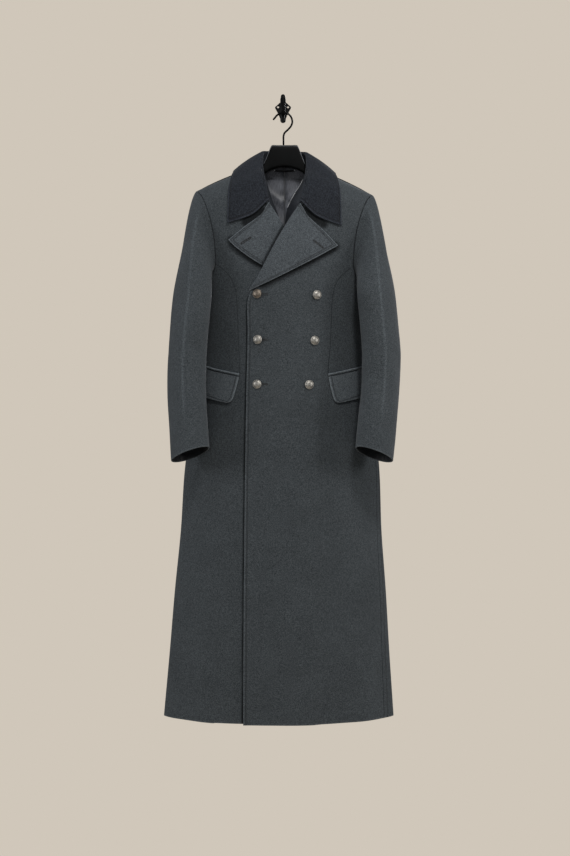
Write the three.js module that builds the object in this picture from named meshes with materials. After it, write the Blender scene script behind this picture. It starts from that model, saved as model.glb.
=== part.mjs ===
// A long double-breasted wool greatcoat on a hanger, hung from a small wall hook.
// Millimetres, +Z up. The wall is the plane y = 0 and the coat's front faces -Y.
// The origin is the middle of the hook's flat back plate.
// "Left" and "right" are the wearer's: the wearer's left is +X, the viewer's right.
import * as THREE from 'three';

// Driving sizes
const WOOL = 3;
const SATIN = 1.4;
const SEAM_GAP = 0.2;
const CONTACT_GAP = 0.4;
const LEAST_STEP = 0.05;
const HEM_Z = -1452;
const UNDER_FRONT_SHORTER = 3;
const UNDER_EDGE_X = -70;
const LAID_GAP = 1;
const CLOTH_X = 3.5;
const HEM_SWAY = -13.6;
const SWAY_START_Z = -600;
const SHOULDER_LEAN = 0.022;
const LEAN_TOP_Z = -350;
const LEAN_END_Z = -650;

// Shoulders: a straight ridge that the hanger's arms carry
const RIDGE_Y = -52;
const NECK_X = 68;
const NECK_Z = -153;
const TIP_X = 207;
const TIP_Z = -216;
const SHOULDER_SLOPE = (NECK_Z - TIP_Z) / (TIP_X - NECK_X);
const SHOULDER_ROUND = 60;

// Level cuts through the hung coat: half width, place of the side edge, and how far
// the front and the back stand out from that edge
const SECTION_COLUMNS = ['z', 'half', 'side', 'front', 'back'];
const SECTION_ROWS = [
  [-100, 262, -52, 36, 30],
  [-220, 258, -50, 80, 34],
  [-320, 238, -46, 98, 34],
  [-420, 208, -40, 107, 30],
  [-500, 200, -37, 110, 27],
  [-600, 201, -36, 108, 25],
  [-720, 214, -37, 105, 26],
  [-870, 231, -39, 103, 28],
  [-1012, 238, -41, 102, 29],
  [-1155, 250, -43, 102, 31],
  [-1297, 260, -45, 101, 33],
  [-1452, 272, -46, 100, 34],
];
const SECTION_FLATNESS = 2.3;
const SECTION_ROUNDING = 0.8;

// Soft upright folds of the skirt: place and width in quarter turns from the middle of
// the front, depth at the hem, and the height where each fades out
const FOLD_COLUMNS = ['turn', 'width', 'depth', 'start_z'];
const FOLD_ROWS = [
  [-0.62, 0.10, -4.5, -760],
  [-0.43, 0.09, 3.5, -820],
  [0.12, 0.12, 2.5, -900],
  [0.36, 0.10, -3.5, -720],
  [0.56, 0.09, 4.5, -700],
  [0.76, 0.07, -3.5, -820],
];

// One front: its inner edge (neck, roll line, front edge) against its outer edge
// (shoulder tip, armhole, princess seam, then the line below the pocket)
const FRONT_COLUMNS = ['inner_x', 'inner_z', 'outer_x', 'outer_z'];
const FRONT_ROWS = [
  [NECK_X, NECK_Z, TIP_X, TIP_Z],
  [66.5, -160, 203.5, -219.5],
  [64, -172, 198.5, -226],
  [60, -190, 192, -235.5],
  [49, -222, 179.5, -265],
  [38.5, -253, 170, -298],
  [17, -287, 163.5, -335],
  [-1, -318, 160.7, -366],
  [-17, -348, 160, -392],
  [-39, -392, 138, -410],
  [-57.5, -430, 122, -430],
  [-73, -457, 114, -452],
  [-81, -482, 110.5, -475],
  [-82, -554, 107, -554],
  [-82.5, -650, 102, -650],
  [-82.5, -705, 106, -703],
  [-82.5, -770, 112, -768],
  [-82.5, -850, 119, -850],
  [-82, -950, 126, -950],
  [-81.5, -1060, 132, -1060],
  [-81, -1180, 138, -1180],
  [-80, -1310, 144, -1310],
  [-79, HEM_Z, 150, HEM_Z],
];
const FRONT_FACES = 8;
const ARMHOLE_ROWS = 8;
const POCKET_ROW = 14;
const SIDE_FACES = 3;

// Side seam: heights where the side body meets it, then where the front's lower part does
const SIDE_BODY_Z = [-436, -450, -468, -492, -520, -565, -619];
const SIDE_SKIRT_Z = [-619, -690, -762, -850, -950, -1060, -1180, -1310, HEM_Z];
const SIDE_SEAM_COLUMNS = ['z', 'inside'];
const SIDE_SEAM_ROWS = [[-436, 1], [-650, 4], [-850, 8], [-1150, 15], [HEM_Z, 24]];

// Armhole under the arm and up the back: the side body's two points, then the back's
const ARMHOLE_SIDE = [[168, -414], [184, -429]];
const ARMHOLE_BACK = [
  [193, -426], [183, -402], [178, -368], [177, -330], [180, -292],
  [186, -262], [194, -241], [200, -229], [204, -221],
];
const BACK_MIDDLE_Z = [
  -143, -149, -157, -170, -190, -222, -262, -304, -345, -385, -420,
  -436, -456, -484, -516, -562, -622, -690, -765, -850, -950, -1060, -1180, -1310, HEM_Z,
];
const BACK_NECK_FACES = 3;
const BACK_SHOULDER_FACES = 5;
const BACK_NECK_FADE_ROWS = 6;

// How far the top front (wearer's left) is lifted by what it laps over
const LIFT_OVER_LAPEL = 9.4;
const LIFT_OVER_FRONT = 4.8;
const LIFT_COLUMNS = ['z', 'lift', 'full_x', 'end_x'];
const LIFT_ROWS = [
  [-262, 0, 10, 60],
  [-312, LIFT_OVER_LAPEL, 12, 75],
  [-392, LIFT_OVER_LAPEL, 50, 112],
  [-430, LIFT_OVER_LAPEL, 66, 114],
  [-462, LIFT_OVER_LAPEL, 76, 111],
  [-530, LIFT_OVER_FRONT, 78, 106],
  [-600, LIFT_OVER_FRONT, 76, 101],
  [HEM_Z, LIFT_OVER_FRONT, 76, 101],
];

// Lapels: apex on the roll line, notch, point, and the lower end of the roll line
const LAPEL_THICK = 4;
const LAPEL_APEX = [36.6, -255.5];
const LAPEL_GAP = 1.5;
const LAPEL_NOTCH = [50, -280];
const LAPEL_POINT = { top: [121, -349], under: [127, -341] };
const LAPEL_BREAK = [-74, -457];
const LAPEL_BEND = { top: [15, -411], under: [49, -400] };
const LAPEL_ROLL_ROWS = [6, 7, 8, 9, 10, 11];
const LAPEL_FACES = 8;
const LAPEL_TURN_OUT = 3.4;
const LAPEL_EDGE_ROUND = 2;
const LAPEL_EDGE_LAP = 0.5;

// Collar, from the nape round to the gorge: the roll on top, the free edge, and the
// way the fold's layers lie on each other
const COLLAR_THICK = 4;
const COLLAR_FOLD = 3.2;
const COLLAR_COLUMNS = [
  'roll_x', 'roll_y', 'roll_z', 'edge_x', 'edge_y', 'edge_z', 'out_x', 'out_y', 'out_z',
];
const COLLAR_ROWS = [
  [0, -27, -113, 0, -14, -176, 0, 1, 0.1],
  [19, -28, -113.5, 38, -14, -175, 0.1, 1, 0.15],
  [37, -35, -115.5, 82, -22, -171, 0.35, 0.8, 0.5],
  [50, -53, -121, 116, -50, -167, 0.55, 0.1, 0.83],
  [52.5, -66, -131, 121.5, -74, -177, 0.5, -0.3, 0.8],
  [52.5, -80, -146, 125.5, -94, -193, 0.4, -0.6, 0.65],
  [51, -98, -168, 129, -111, -216, 0.25, -0.9, 0.4],
  [45, -128, -207, 131, -125, -256, 0.1, -1, 0.2],
  [37, -145, -249, 132, -128, -296, 0, -1, 0.1],
];
const COLLAR_OFF_BODY = 5;
const COLLAR_OVER_ROUND = 2.6;
const COLLAR_STEPS = 2;
const COLLAR_FALL_BOW = 3;
const COLLAR_FOOT_GAP = 0.8;
const COLLAR_FALL_START = 7;
const COLLAR_END_DIP = [8.6, 5.3];

// Pocket flaps and welts, in the frame of the pocket line
const FLAP_THICK = 3.6;
const FLAP_FACES = 7;
const FLAP_SLANT = 0.075;
const FLAP_CORNER_COLUMNS = ['down', 'cut'];
const FLAP_CORNER_ROWS = [[1.5, 0], [14, 0], [34, 0], [52, 0.01], [58, 0.045], [60, 0.09]];
const WELT_HIGH = 6;
const WELT_THICK = 3.4;
const POCKET_START = [101, -649];
const POCKET_END_IN = 0.02;

// Sleeves: level cuts below the arm, then the cuff's plane
const SLEEVE_COLUMNS = ['z', 'out', 'fore', 'wide', 'deep'];
const SLEEVE_ROWS = [
  [-470, 213.5, -110, 42.5, 70],
  [-520, 218.5, -111, 43, 70],
  [-600, 224.8, -116, 43, 67],
  [-680, 223.5, -125, 42.5, 64],
  [-760, 216.5, -138, 42.5, 60],
  [-832, 210, -151, 42.5, 56],
];
const SLEEVE_RING_Z = [-470, -520, -570, -620, -670, -720, -775, -832];
const SLEEVE_TWIST = 18;
const CUFF_RISE_IN = 0.32;
const CUFF_RISE_FORE = 0.2;
const CAP_ROWS = 8;
// For each armhole point: where it comes round the sleeve, how sharply the sleeve turns
// away from the body there, and how far it runs on before it turns down
const CAP_COLUMNS = ['round', 'turn_away', 'run'];
const CAP_TABLE = [
  [8, 12, 45], [20, 12, 45], [33, 13, 50], [47, 14, 60], [68, 18, 80], [90, 25, 90],
  [112, 38, 80], [135, 60, 60], [157, 85, 50], [180, 105, 50], [202, 114, 55],
  [223, 112, 65], [240, 102, 60], [255, 90, 50], [271, 72, 55], [287, 50, 80],
  [303, 36, 90], [318, 26, 80], [333, 18, 60], [346, 14, 50], [357, 12, 45],
];
const CAP_STAND_OFF = 0.9;
const CAP_MIDDLE_OUT = 25;
const FRONT_SLEEVE_SEAM = 9;
const BACK_SLEEVE_SEAM = 15;

// Buttons on the top front, and how they are turned
const BUTTON_RADIUS = 11;
const BUTTON_HIGH = 6;
const BUTTON_SIDES = 14;
const BUTTON_SEAT = 0.6;
const BUTTON_PROFILE = [
  [0, 0], [0.62, 0], [0.62, 0.18], [0.97, 0.2], [1, 0.33], [0.93, 0.56], [0.74, 0.8], [0.42, 0.96], [0, 1],
];
const BUTTON_PLACES = [
  ['1_right', -61.6, -465], ['2_right', -61.6, -568.5], ['3_right', -61.2, -670.5],
  ['1_left', 73.4, -465], ['2_left', 68.8, -570], ['3_left', 57.3, -671.6],
];

// Inside of the neck
const LINING_HALF_TURN = 0.27;
const LINING_BOTTOM_Z = -440;
const LINING_BELOW_NECK = 4;
const LINING_FACES = [7, 12];
const LINING_NECK_TURN = 0.17;
const LINING_FALL_TURN = 0.12;
const LINING_FALL = 190;
const FACING_THICK = 2;
const FACING_ROWS = [2, 3, 4, 5, 6, 7];
const FACING_INNER = {
  left: [[46, -178], [36, -202], [21, -228], [8, -254], [2, -286], [0, -316]],
  right: [[-45, -178], [-40, -200], [-33, -226], [-24, -252], [-12, -284], [-3, -314]],
};
const FACING_BACK = 26;
const FACING_START = [8, -4];
const FACING_BEND = 0.45;
const FACING_BOW = 4;
const FACING_SHIFT = 0.4;
const LOOP_LENGTH = 49;
const LOOP_Z = -159;
const LOOP_Y = -34.6;
const LOOP_RADIUS = 2.2;
const LOOP_SIDES = 8;
const LOOP_STATIONS = [-1, -0.85, -0.4, 0, 0.4, 0.85, 1];
const LOOP_SAG = 1.2;
const LOOP_BOW = 1.5;

// Hanger: level neck, sloping arms, round wire
const HANGER_COLUMNS = ['x', 'top', 'bottom', 'deep', 'corner'];
const HANGER_HALF_ROWS = [
  [0, -103, -153.7, 6.5, 0.4], [30, -103, -160, 6.5, 0.4], [32.5, -106.5, -161, 6.5, 0.4],
  [41, -129, -166, 6.5, 0.4], [50, -149, -172, 7, 0.6], [60, -158.5, -176, 8, 0.8],
  [75, -159.8, -184, 8.5, 1], [110, -175.7, -203, 10.5, 1], [150, -193.8, -222, 10.5, 1],
  [190, -212, -236, 9, 1], [198, -219, -231, 6, 1],
];
const HANGER_RING = 16;
const HANGER_NECK_HALF = 45;
const WIRE_RADIUS = 2.25;
const WIRE_SIDES = 10;
const WIRE_STEPS = 34;
const WIRE_ROUTE = [
  [-2.3, -102.6], [-2.3, -92], [-2.3, -82], [0, -74], [8.8, -65.3], [15.6, -57], [18.5, -47.3],
  [16.1, -37], [10.9, -30.3], [4.5, -26.6], [-2.3, -25.7], [-11, -27.6], [-18.2, -32.4],
  [-22.8, -38], [-27.2, -43],
];

// Wall hook: flat plate with two eared holes, and an arm that turns up in front
const PLATE_THICK = 4;
const PLATE_HALF = 6.7;
const PLATE_TOP = 25;
const PLATE_BOTTOM = -38;
const PLATE_WAIST_TOP = 11;
const PLATE_WAIST_BOTTOM = -28;
const EAR_TOP = [16.5, 2];
const EAR_MIDDLE = [15.5, -1.5];
const EAR_RADIUS = 3.6;
const EAR_ARC = [-Math.PI * 0.25, Math.PI * 0.28];
const EAR_LOW = [11.7, -16];
const EAR_HOLE = { x: 12, z: -0.5, radius: 2.6 };
const PLATE_CURVE_FACES = 8;
const ARM_RADIUS = 4.7;
const ARM_SIDES = 12;
const ARM_ROUTE = [
  [-4.4, -33, 1], [-20, -33, 1], [-52, -33, 1], [-63, -32.6, 1], [-69.5, -29, 1.05],
  [-72.5, -22, 1.1], [-73, -12, 1.15], [-73, 0, 1.15], [-73, 8, 0.95], [-73, 12, 0.5],
];

const DEGREE = Math.PI / 180;

// Colours of the finishes
const MATERIALS = {
  wool: { color: 0x3b3e40, roughness: 0.95, metalness: 0 },
  collar_wool: { color: 0x292c2f, roughness: 0.97, metalness: 0 },
  satin: { color: 0x55575c, roughness: 0.5, metalness: 0 },
  button: { color: 0x8a8883, roughness: 0.38, metalness: 1 },
  hanger: { color: 0x1b1c1e, roughness: 0.5, metalness: 0 },
  iron: { color: 0x151516, roughness: 0.55, metalness: 0.6 },
};

const part = new THREE.Group();

function named(rows, columns) {
  return rows.map((row) => Object.fromEntries(columns.map((column, i) => [column, row[i]])));
}

// A value between a table's rows, along a curve whose slope at a row comes from its
// neighbours; past the ends it stays at the last row
function alongTable(table, key, at, column) {
  const down = table[0][key] > table[table.length - 1][key];
  const ordered = down ? [...table].reverse() : table;
  const last = ordered.length - 1;
  if (at <= ordered[0][key]) return ordered[0][column];
  if (at >= ordered[last][key]) return ordered[last][column];
  let i = 0;
  while (ordered[i + 1][key] < at) i += 1;
  const slope = (j) => {
    const a = ordered[Math.max(0, j - 1)];
    const b = ordered[Math.min(last, j + 1)];
    return (b[column] - a[column]) / (b[key] - a[key]);
  };
  const span = ordered[i + 1][key] - ordered[i][key];
  const t = (at - ordered[i][key]) / span;
  const curve = t * t * (3 - 2 * t);
  return ordered[i][column] * (1 - curve) + ordered[i + 1][column] * curve
    + slope(i) * span * t * (1 - t) * (1 - t) - slope(i + 1) * span * t * t * (1 - t);
}

function smooth(from, to, at) {
  const t = Math.min(1, Math.max(0, (at - from) / (to - from)));
  return t * t * (3 - 2 * t);
}

const mix = (a, b, t) => a + (b - a) * t;

const SECTIONS = named(SECTION_ROWS, SECTION_COLUMNS);
const FOLDS = named(FOLD_ROWS, FOLD_COLUMNS);
const FRONT = named(FRONT_ROWS, FRONT_COLUMNS);
const SIDE_SEAM = named(SIDE_SEAM_ROWS, SIDE_SEAM_COLUMNS);
const LIFTS = named(LIFT_ROWS, LIFT_COLUMNS);
const COLLAR = named(COLLAR_ROWS, COLLAR_COLUMNS);
const SLEEVE = named(SLEEVE_ROWS, SLEEVE_COLUMNS);
const CAP = named(CAP_TABLE, CAP_COLUMNS);
const HANGER = named(HANGER_HALF_ROWS, HANGER_COLUMNS);

// The whole coat hangs a little low on its left shoulder and swings aside at the hem
function hang(x, y, z) {
  const drop = Math.max(0, (SWAY_START_Z - z) / (SWAY_START_Z - HEM_Z));
  const sway = HEM_SWAY * Math.pow(drop, 0.75);
  const lean = SHOULDER_LEAN * x * smooth(LEAN_END_Z, LEAN_TOP_Z, z);
  return new THREE.Vector3(x + CLOTH_X + sway, y, z - lean);
}

function shoulderZ(x) {
  return NECK_Z - (Math.abs(x) - NECK_X) * SHOULDER_SLOPE;
}

function foldDepth(turn, z) {
  return FOLDS.reduce((sum, fold) => {
    const off = (turn - fold.turn) / fold.width;
    return sum + fold.depth * Math.exp(-off * off) * smooth(fold.start_z, HEM_Z, z);
  }, 0);
}

// A point of the hung body. turn counts quarter turns round the coat: 0 is the middle of
// the front, 1 and -1 are the side edges, 2 is the middle of the back. depth is how far
// the point lies under the cloth's outside, so whole layers share one form.
function bodyForm(turn, z, depth) {
  const across = Math.sin(turn * 90 * DEGREE);
  const half = alongTable(SECTIONS, 'z', z, 'half');
  const side = alongTable(SECTIONS, 'z', z, 'side');
  const bulge = Math.pow(Math.max(0, 1 - Math.pow(Math.abs(across), SECTION_FLATNESS)), SECTION_ROUNDING);
  const isFront = Math.cos(turn * 90 * DEGREE) >= 0;
  const out = isFront
    ? -(alongTable(SECTIONS, 'z', z, 'front') + foldDepth(turn, z) - depth)
    : alongTable(SECTIONS, 'z', z, 'back') - depth;
  const x = (half - depth) * across;
  const under = Math.min(1, Math.max(0, (shoulderZ(x) - z) / SHOULDER_ROUND));
  const rise = Math.sqrt(1 - (1 - under) * (1 - under));
  const y = RIDGE_Y + (side + out * bulge - RIDGE_Y) * rise;
  return new THREE.Vector3(x, y, z - depth * (1 - rise));
}

function bodyPoint(turn, z, depth) {
  const form = bodyForm(turn, z, depth);
  return hang(form.x, form.y, form.z);
}

function frontTurn(x, z) {
  return Math.asin(x / alongTable(SECTIONS, 'z', z, 'half')) / (90 * DEGREE);
}

function backTurn(x, z) {
  return 2 - frontTurn(x, z);
}

function sideSeamTurn(z) {
  const half = alongTable(SECTIONS, 'z', z, 'half');
  return frontTurn(half - alongTable(SIDE_SEAM, 'z', z, 'inside'), z);
}

// A closed wall between two grids of points, over the cells that are kept. Each edge
// vertex stands back from its seam line by SEAM_GAP.
function wall(outer, inner, keep = () => true) {
  const rows = outer.length - 1;
  const columns = outer[0].length - 1;
  const kept = (r, c) => r >= 0 && c >= 0 && r < rows && c < columns && keep(r, c);
  const middle = (grid, r, c) => grid[r][c].clone().add(grid[r + 1][c])
    .add(grid[r][c + 1]).add(grid[r + 1][c + 1]).multiplyScalar(0.25);
  const stoodBack = (grid) => grid.map((line, r) => line.map((point, c) => {
    const around = [[r - 1, c - 1], [r - 1, c], [r, c - 1], [r, c]].filter(([i, j]) => kept(i, j));
    if (around.length === 0 || around.length === 4) return point;
    const inward = new THREE.Vector3();
    if (around.length === 3) {
      const [i, j] = [[r - 1, c - 1], [r - 1, c], [r, c - 1], [r, c]].find(([a, b]) => !kept(a, b));
      inward.copy(point).sub(middle(grid, i, j));
    } else {
      around.forEach(([i, j]) => inward.add(middle(grid, i, j).sub(point).normalize()));
    }
    return point.clone().add(inward.normalize().multiplyScalar(SEAM_GAP * 1.3));
  }));
  const faces = [stoodBack(outer), stoodBack(inner)];
  const index = (layer, r, c) => layer * (rows + 1) * (columns + 1) + r * (columns + 1) + c;
  const triangles = [];
  const quad = (a, b, c, d) => triangles.push(a, b, c, a, c, d);
  for (let r = 0; r < rows; r += 1) {
    for (let c = 0; c < columns; c += 1) {
      if (!kept(r, c)) continue;
      quad(index(0, r, c), index(0, r + 1, c), index(0, r + 1, c + 1), index(0, r, c + 1));
      quad(index(1, r, c), index(1, r, c + 1), index(1, r + 1, c + 1), index(1, r + 1, c));
      if (!kept(r - 1, c)) quad(index(0, r, c), index(0, r, c + 1), index(1, r, c + 1), index(1, r, c));
      if (!kept(r + 1, c)) {
        quad(index(0, r + 1, c + 1), index(0, r + 1, c), index(1, r + 1, c), index(1, r + 1, c + 1));
      }
      if (!kept(r, c - 1)) quad(index(0, r + 1, c), index(0, r, c), index(1, r, c), index(1, r + 1, c));
      if (!kept(r, c + 1)) {
        quad(index(0, r, c + 1), index(0, r + 1, c + 1), index(1, r + 1, c + 1), index(1, r, c + 1));
      }
    }
  }
  return solidFrom(faces.flat(2), triangles);
}

// A geometry from points and triangles, turned so that its faces point out
function solidFrom(points, triangles) {
  const used = new Map();
  const positions = [];
  const indices = triangles.map((i) => {
    if (!used.has(i)) {
      used.set(i, used.size);
      positions.push(points[i].x, points[i].y, points[i].z);
    }
    return used.get(i);
  });
  let volume = 0;
  for (let i = 0; i < triangles.length; i += 3) {
    const [a, b, c] = [0, 1, 2].map((j) => points[triangles[i + j]]);
    volume += a.dot(b.clone().cross(c));
  }
  if (volume < 0) {
    for (let i = 0; i < indices.length; i += 3) {
      [indices[i + 1], indices[i + 2]] = [indices[i + 2], indices[i + 1]];
    }
  }
  const geometry = new THREE.BufferGeometry();
  geometry.setAttribute('position', new THREE.Float32BufferAttribute(positions, 3));
  geometry.setIndex(indices);
  geometry.computeVertexNormals();
  return geometry;
}

// A closed solid through rings of equal point counts, with a fan at each end
function ringSolid(rings) {
  const count = rings[0].length;
  const centre = (ring) => ring.reduce((sum, p) => sum.add(p), new THREE.Vector3()).multiplyScalar(1 / count);
  const points = [...rings.flat(), centre(rings[0]), centre(rings[rings.length - 1])];
  const triangles = [];
  const last = rings.length - 1;
  for (let r = 0; r < last; r += 1) {
    for (let i = 0; i < count; i += 1) {
      const next = (i + 1) % count;
      const [a, b, c, d] = [r * count + i, r * count + next, (r + 1) * count + next, (r + 1) * count + i];
      triangles.push(a, b, c, a, c, d);
    }
  }
  for (let i = 0; i < count; i += 1) {
    const next = (i + 1) % count;
    triangles.push(points.length - 2, next, i);
    triangles.push(points.length - 1, last * count + i, last * count + next);
  }
  return solidFrom(points, triangles);
}

function add(name, geometry, finish) {
  const mesh = new THREE.Mesh(geometry, new THREE.MeshStandardMaterial(MATERIALS[finish]));
  mesh.name = name;
  part.add(mesh);
}

// A sewn panel: a grid of [turn, z] with its outside lifted by lift(turn, z)
function panel(grid, thick, lift = () => 0, keep = undefined) {
  const layer = (depth) => grid.map((line) => (
    line.map(([turn, z]) => bodyPoint(turn, z, depth - lift(turn, z)))
  ));
  return wall(layer(0), layer(thick), keep);
}

function mirrored(grid) {
  return grid.map((line) => line.map(([turn, z]) => [-turn, z]));
}

function topLift(turn, z) {
  const x = alongTable(SECTIONS, 'z', z, 'half') * Math.sin(turn * 90 * DEGREE);
  const cut = (column) => alongTable(LIFTS, 'z', z, column);
  return cut('lift') * (1 - smooth(cut('full_x'), cut('end_x'), x));
}

// The front: from its inner edge to the princess seam, and below the pocket on to the
// side seam in the same piece of cloth
function frontGrid(hemRise, edgeX) {
  return FRONT.map((row, r) => {
    const isSkirt = r >= POCKET_ROW;
    const seamZ = isSkirt ? SIDE_SKIRT_Z[r - POCKET_ROW] : row.outer_z;
    const inner = [frontTurn(Math.max(edgeX, row.inner_x), row.inner_z), row.inner_z];
    const outer = [frontTurn(row.outer_x, row.outer_z), row.outer_z];
    const side = [sideSeamTurn(seamZ), seamZ];
    const line = [];
    for (let c = 0; c <= FRONT_FACES; c += 1) {
      line.push([mix(inner[0], outer[0], c / FRONT_FACES), mix(inner[1], outer[1], c / FRONT_FACES)]);
    }
    for (let c = 1; c <= SIDE_FACES; c += 1) {
      line.push([mix(outer[0], side[0], c / SIDE_FACES), mix(outer[1], side[1], c / SIDE_FACES)]);
    }
    return r === FRONT.length - 1 ? line.map(([turn, z]) => [turn, z + hemRise]) : line;
  });
}

const frontKept = (r, c) => c < FRONT_FACES || r >= POCKET_ROW;

// The side body, between the princess seam, the armhole, the side seam and the pocket
function sideGrid() {
  const princess = FRONT.slice(ARMHOLE_ROWS, POCKET_ROW + 1)
    .map((row) => [frontTurn(row.outer_x, row.outer_z), row.outer_z]);
  const seam = SIDE_BODY_Z.map((z) => [sideSeamTurn(z), z]);
  const top = [princess[0], ...ARMHOLE_SIDE.map(([x, z]) => [frontTurn(x, z), z]), seam[0]];
  const last = princess.length - 1;
  return princess.map((left, r) => top.map((corner, c) => [0, 1].map((axis) => {
    const u = c / SIDE_FACES;
    const v = r / last;
    const low = mix(princess[last][axis], seam[last][axis], u);
    const flat = mix(mix(princess[0][axis], seam[0][axis], u), low, v);
    return mix(left[axis], seam[r][axis], u) + mix(corner[axis], low, v) - flat;
  })));
}

function backGrid() {
  const armhole = [[TIP_X, TIP_Z], ...[...ARMHOLE_BACK].reverse()].map(([x, z]) => [backTurn(x, z), z]);
  const seam = [...SIDE_BODY_Z, ...SIDE_SKIRT_Z.slice(1)].map((z) => [sideSeamTurn(z), z]);
  const outer = [...armhole, ...seam];
  const neckTurn = backTurn(NECK_X, NECK_Z);
  const top = [];
  for (let c = 0; c < BACK_NECK_FACES; c += 1) {
    const u = c / BACK_NECK_FACES;
    top.push([mix(2, neckTurn, u), mix(BACK_MIDDLE_Z[0], NECK_Z, u * u)]);
  }
  for (let c = 0; c <= BACK_SHOULDER_FACES; c += 1) {
    const x = mix(NECK_X, TIP_X, c / BACK_SHOULDER_FACES);
    top.push([backTurn(x, shoulderZ(x)), shoulderZ(x)]);
  }
  const columns = top.length - 1;
  return outer.map((right, r) => top.map((corner, c) => {
    const u = (2 - corner[0]) / (2 - top[columns][0]);
    const even = mix(u, c / columns, smooth(0, BACK_NECK_FADE_ROWS, r));
    const fade = 1 - smooth(0, BACK_NECK_FADE_ROWS, r);
    const chord = mix(BACK_MIDDLE_Z[0], TIP_Z, u);
    return [mix(2, right[0], even), mix(BACK_MIDDLE_Z[r], right[1], even) + (corner[1] - chord) * fade];
  }));
}

// Points where the sleeve is sewn in: down the front from the tip, under the arm, and
// up the back, each as [turn, z] of the body
function armholeLoop() {
  const front = FRONT.slice(0, ARMHOLE_ROWS + 1)
    .map((row) => [frontTurn(row.outer_x, row.outer_z), row.outer_z]);
  const side = ARMHOLE_SIDE.map(([x, z]) => [frontTurn(x, z), z]);
  const under = [sideSeamTurn(SIDE_BODY_Z[0]), SIDE_BODY_Z[0]];
  const back = ARMHOLE_BACK.map(([x, z]) => [backTurn(x, z), z]);
  return [...front, ...side, under, ...back];
}

// A point round the sleeve's oval at height z, before the coat is hung
function sleevePoint(round, z, depth) {
  const cut = (column) => alongTable(SLEEVE, 'z', z, column);
  const out = (cut('wide') - depth) * Math.cos(round * DEGREE);
  const fore = (cut('deep') - depth) * Math.sin(round * DEGREE);
  const twist = SLEEVE_TWIST * DEGREE;
  return new THREE.Vector3(
    cut('out') + out * Math.cos(twist) - fore * Math.sin(twist),
    cut('fore') - out * Math.sin(twist) - fore * Math.cos(twist),
    z,
  );
}

// The sleeve's outside and inside as grids: rows run from the armhole to the cuff and
// columns run round. side is 1 for the wearer's left.
function sleeveGrids(side) {
  const loop = armholeLoop();
  const at = (turn, z) => bodyPoint(side * turn, z, 0);
  const seam = loop.map(([turn, z]) => at(turn, z));
  const middle = seam.reduce((sum, p) => sum.add(p), new THREE.Vector3()).multiplyScalar(1 / seam.length);
  middle.x += side * CAP_MIDDLE_OUT;
  const count = seam.length;
  const starts = seam.map((point, k) => {
    const [turn, z] = loop[k];
    const along = seam[(k + 1) % count].clone().sub(seam[(k + count - 1) % count]).normalize();
    const normal = at(turn + 0.02, z).sub(at(turn - 0.02, z)).cross(at(turn, z - 2).sub(at(turn, z + 2)));
    normal.normalize();
    const sideways = point.clone().sub(new THREE.Vector3(CLOTH_X, RIDGE_Y, z - 40));
    if (normal.dot(sideways) < 0) normal.negate();
    const into = normal.clone().cross(along).normalize();
    if (into.dot(middle.clone().sub(point)) > 0) into.negate();
    const away = CAP[k].turn_away * DEGREE;
    const half = away / 2;
    const heading = into.clone().multiplyScalar(-Math.cos(away)).addScaledVector(normal, Math.sin(away));
    const clear = into.clone().multiplyScalar(-Math.cos(half)).addScaledVector(normal, Math.sin(half));
    const facing = normal.clone().multiplyScalar(Math.cos(away)).addScaledVector(into, Math.sin(away));
    const from = point.clone().addScaledVector(clear, CONTACT_GAP + away * CAP_STAND_OFF);
    return { point: from, heading, facing };
  });
  const hung = (p) => hang(side * p.x, p.y, p.z);
  const ring = (k, z, depth) => {
    const flat = sleevePoint(CAP[k].round, z, depth);
    const cut = (column) => alongTable(SLEEVE, 'z', z, column);
    const share = smooth(SLEEVE_RING_Z[0], SLEEVE_RING_Z[SLEEVE_RING_Z.length - 1], z);
    const rise = CUFF_RISE_IN * (cut('out') - flat.x) + CUFF_RISE_FORE * (cut('fore') - flat.y);
    return hung(flat.setZ(z + rise * share));
  };
  const grid = (depth) => {
    const rows = [];
    for (let r = 0; r < CAP_ROWS; r += 1) {
      const t = r / CAP_ROWS;
      const ease = t * t * (3 - 2 * t);
      rows.push(starts.map((start, k) => {
        const from = start.point.clone().addScaledVector(start.facing, -depth);
        const to = ring(k, SLEEVE_RING_Z[0], depth);
        const below = ring(k, SLEEVE_RING_Z[0] - 10, depth);
        const drop = below.sub(to).normalize().multiplyScalar(from.distanceTo(to));
        return from.multiplyScalar(1 - ease).addScaledVector(to, ease)
          .addScaledVector(start.heading, CAP[k].run * t * (1 - t) * (1 - t))
          .addScaledVector(drop, -t * t * (1 - t));
      }));
    }
    SLEEVE_RING_Z.forEach((z) => rows.push(starts.map((start, k) => ring(k, z, depth))));
    return rows;
  };
  return { outer: grid(0), inner: grid(WOOL) };
}

function addSleeve(side, label) {
  const { outer, inner } = sleeveGrids(side);
  const count = CAP.length;
  const columns = (from, to) => {
    const list = [];
    for (let k = from; k !== to; k = (k + 1) % count) list.push(k);
    return [...list, to];
  };
  const cut = (grid, list) => grid.map((line) => list.map((k) => line[k]));
  const upper = columns(BACK_SLEEVE_SEAM, FRONT_SLEEVE_SEAM);
  const under = columns(FRONT_SLEEVE_SEAM, BACK_SLEEVE_SEAM);
  add(`sleeve_top_${label}`, wall(cut(outer, upper), cut(inner, upper)), 'wool');
  add(`sleeve_under_${label}`, wall(cut(outer, under), cut(inner, under)), 'wool');
}

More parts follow.
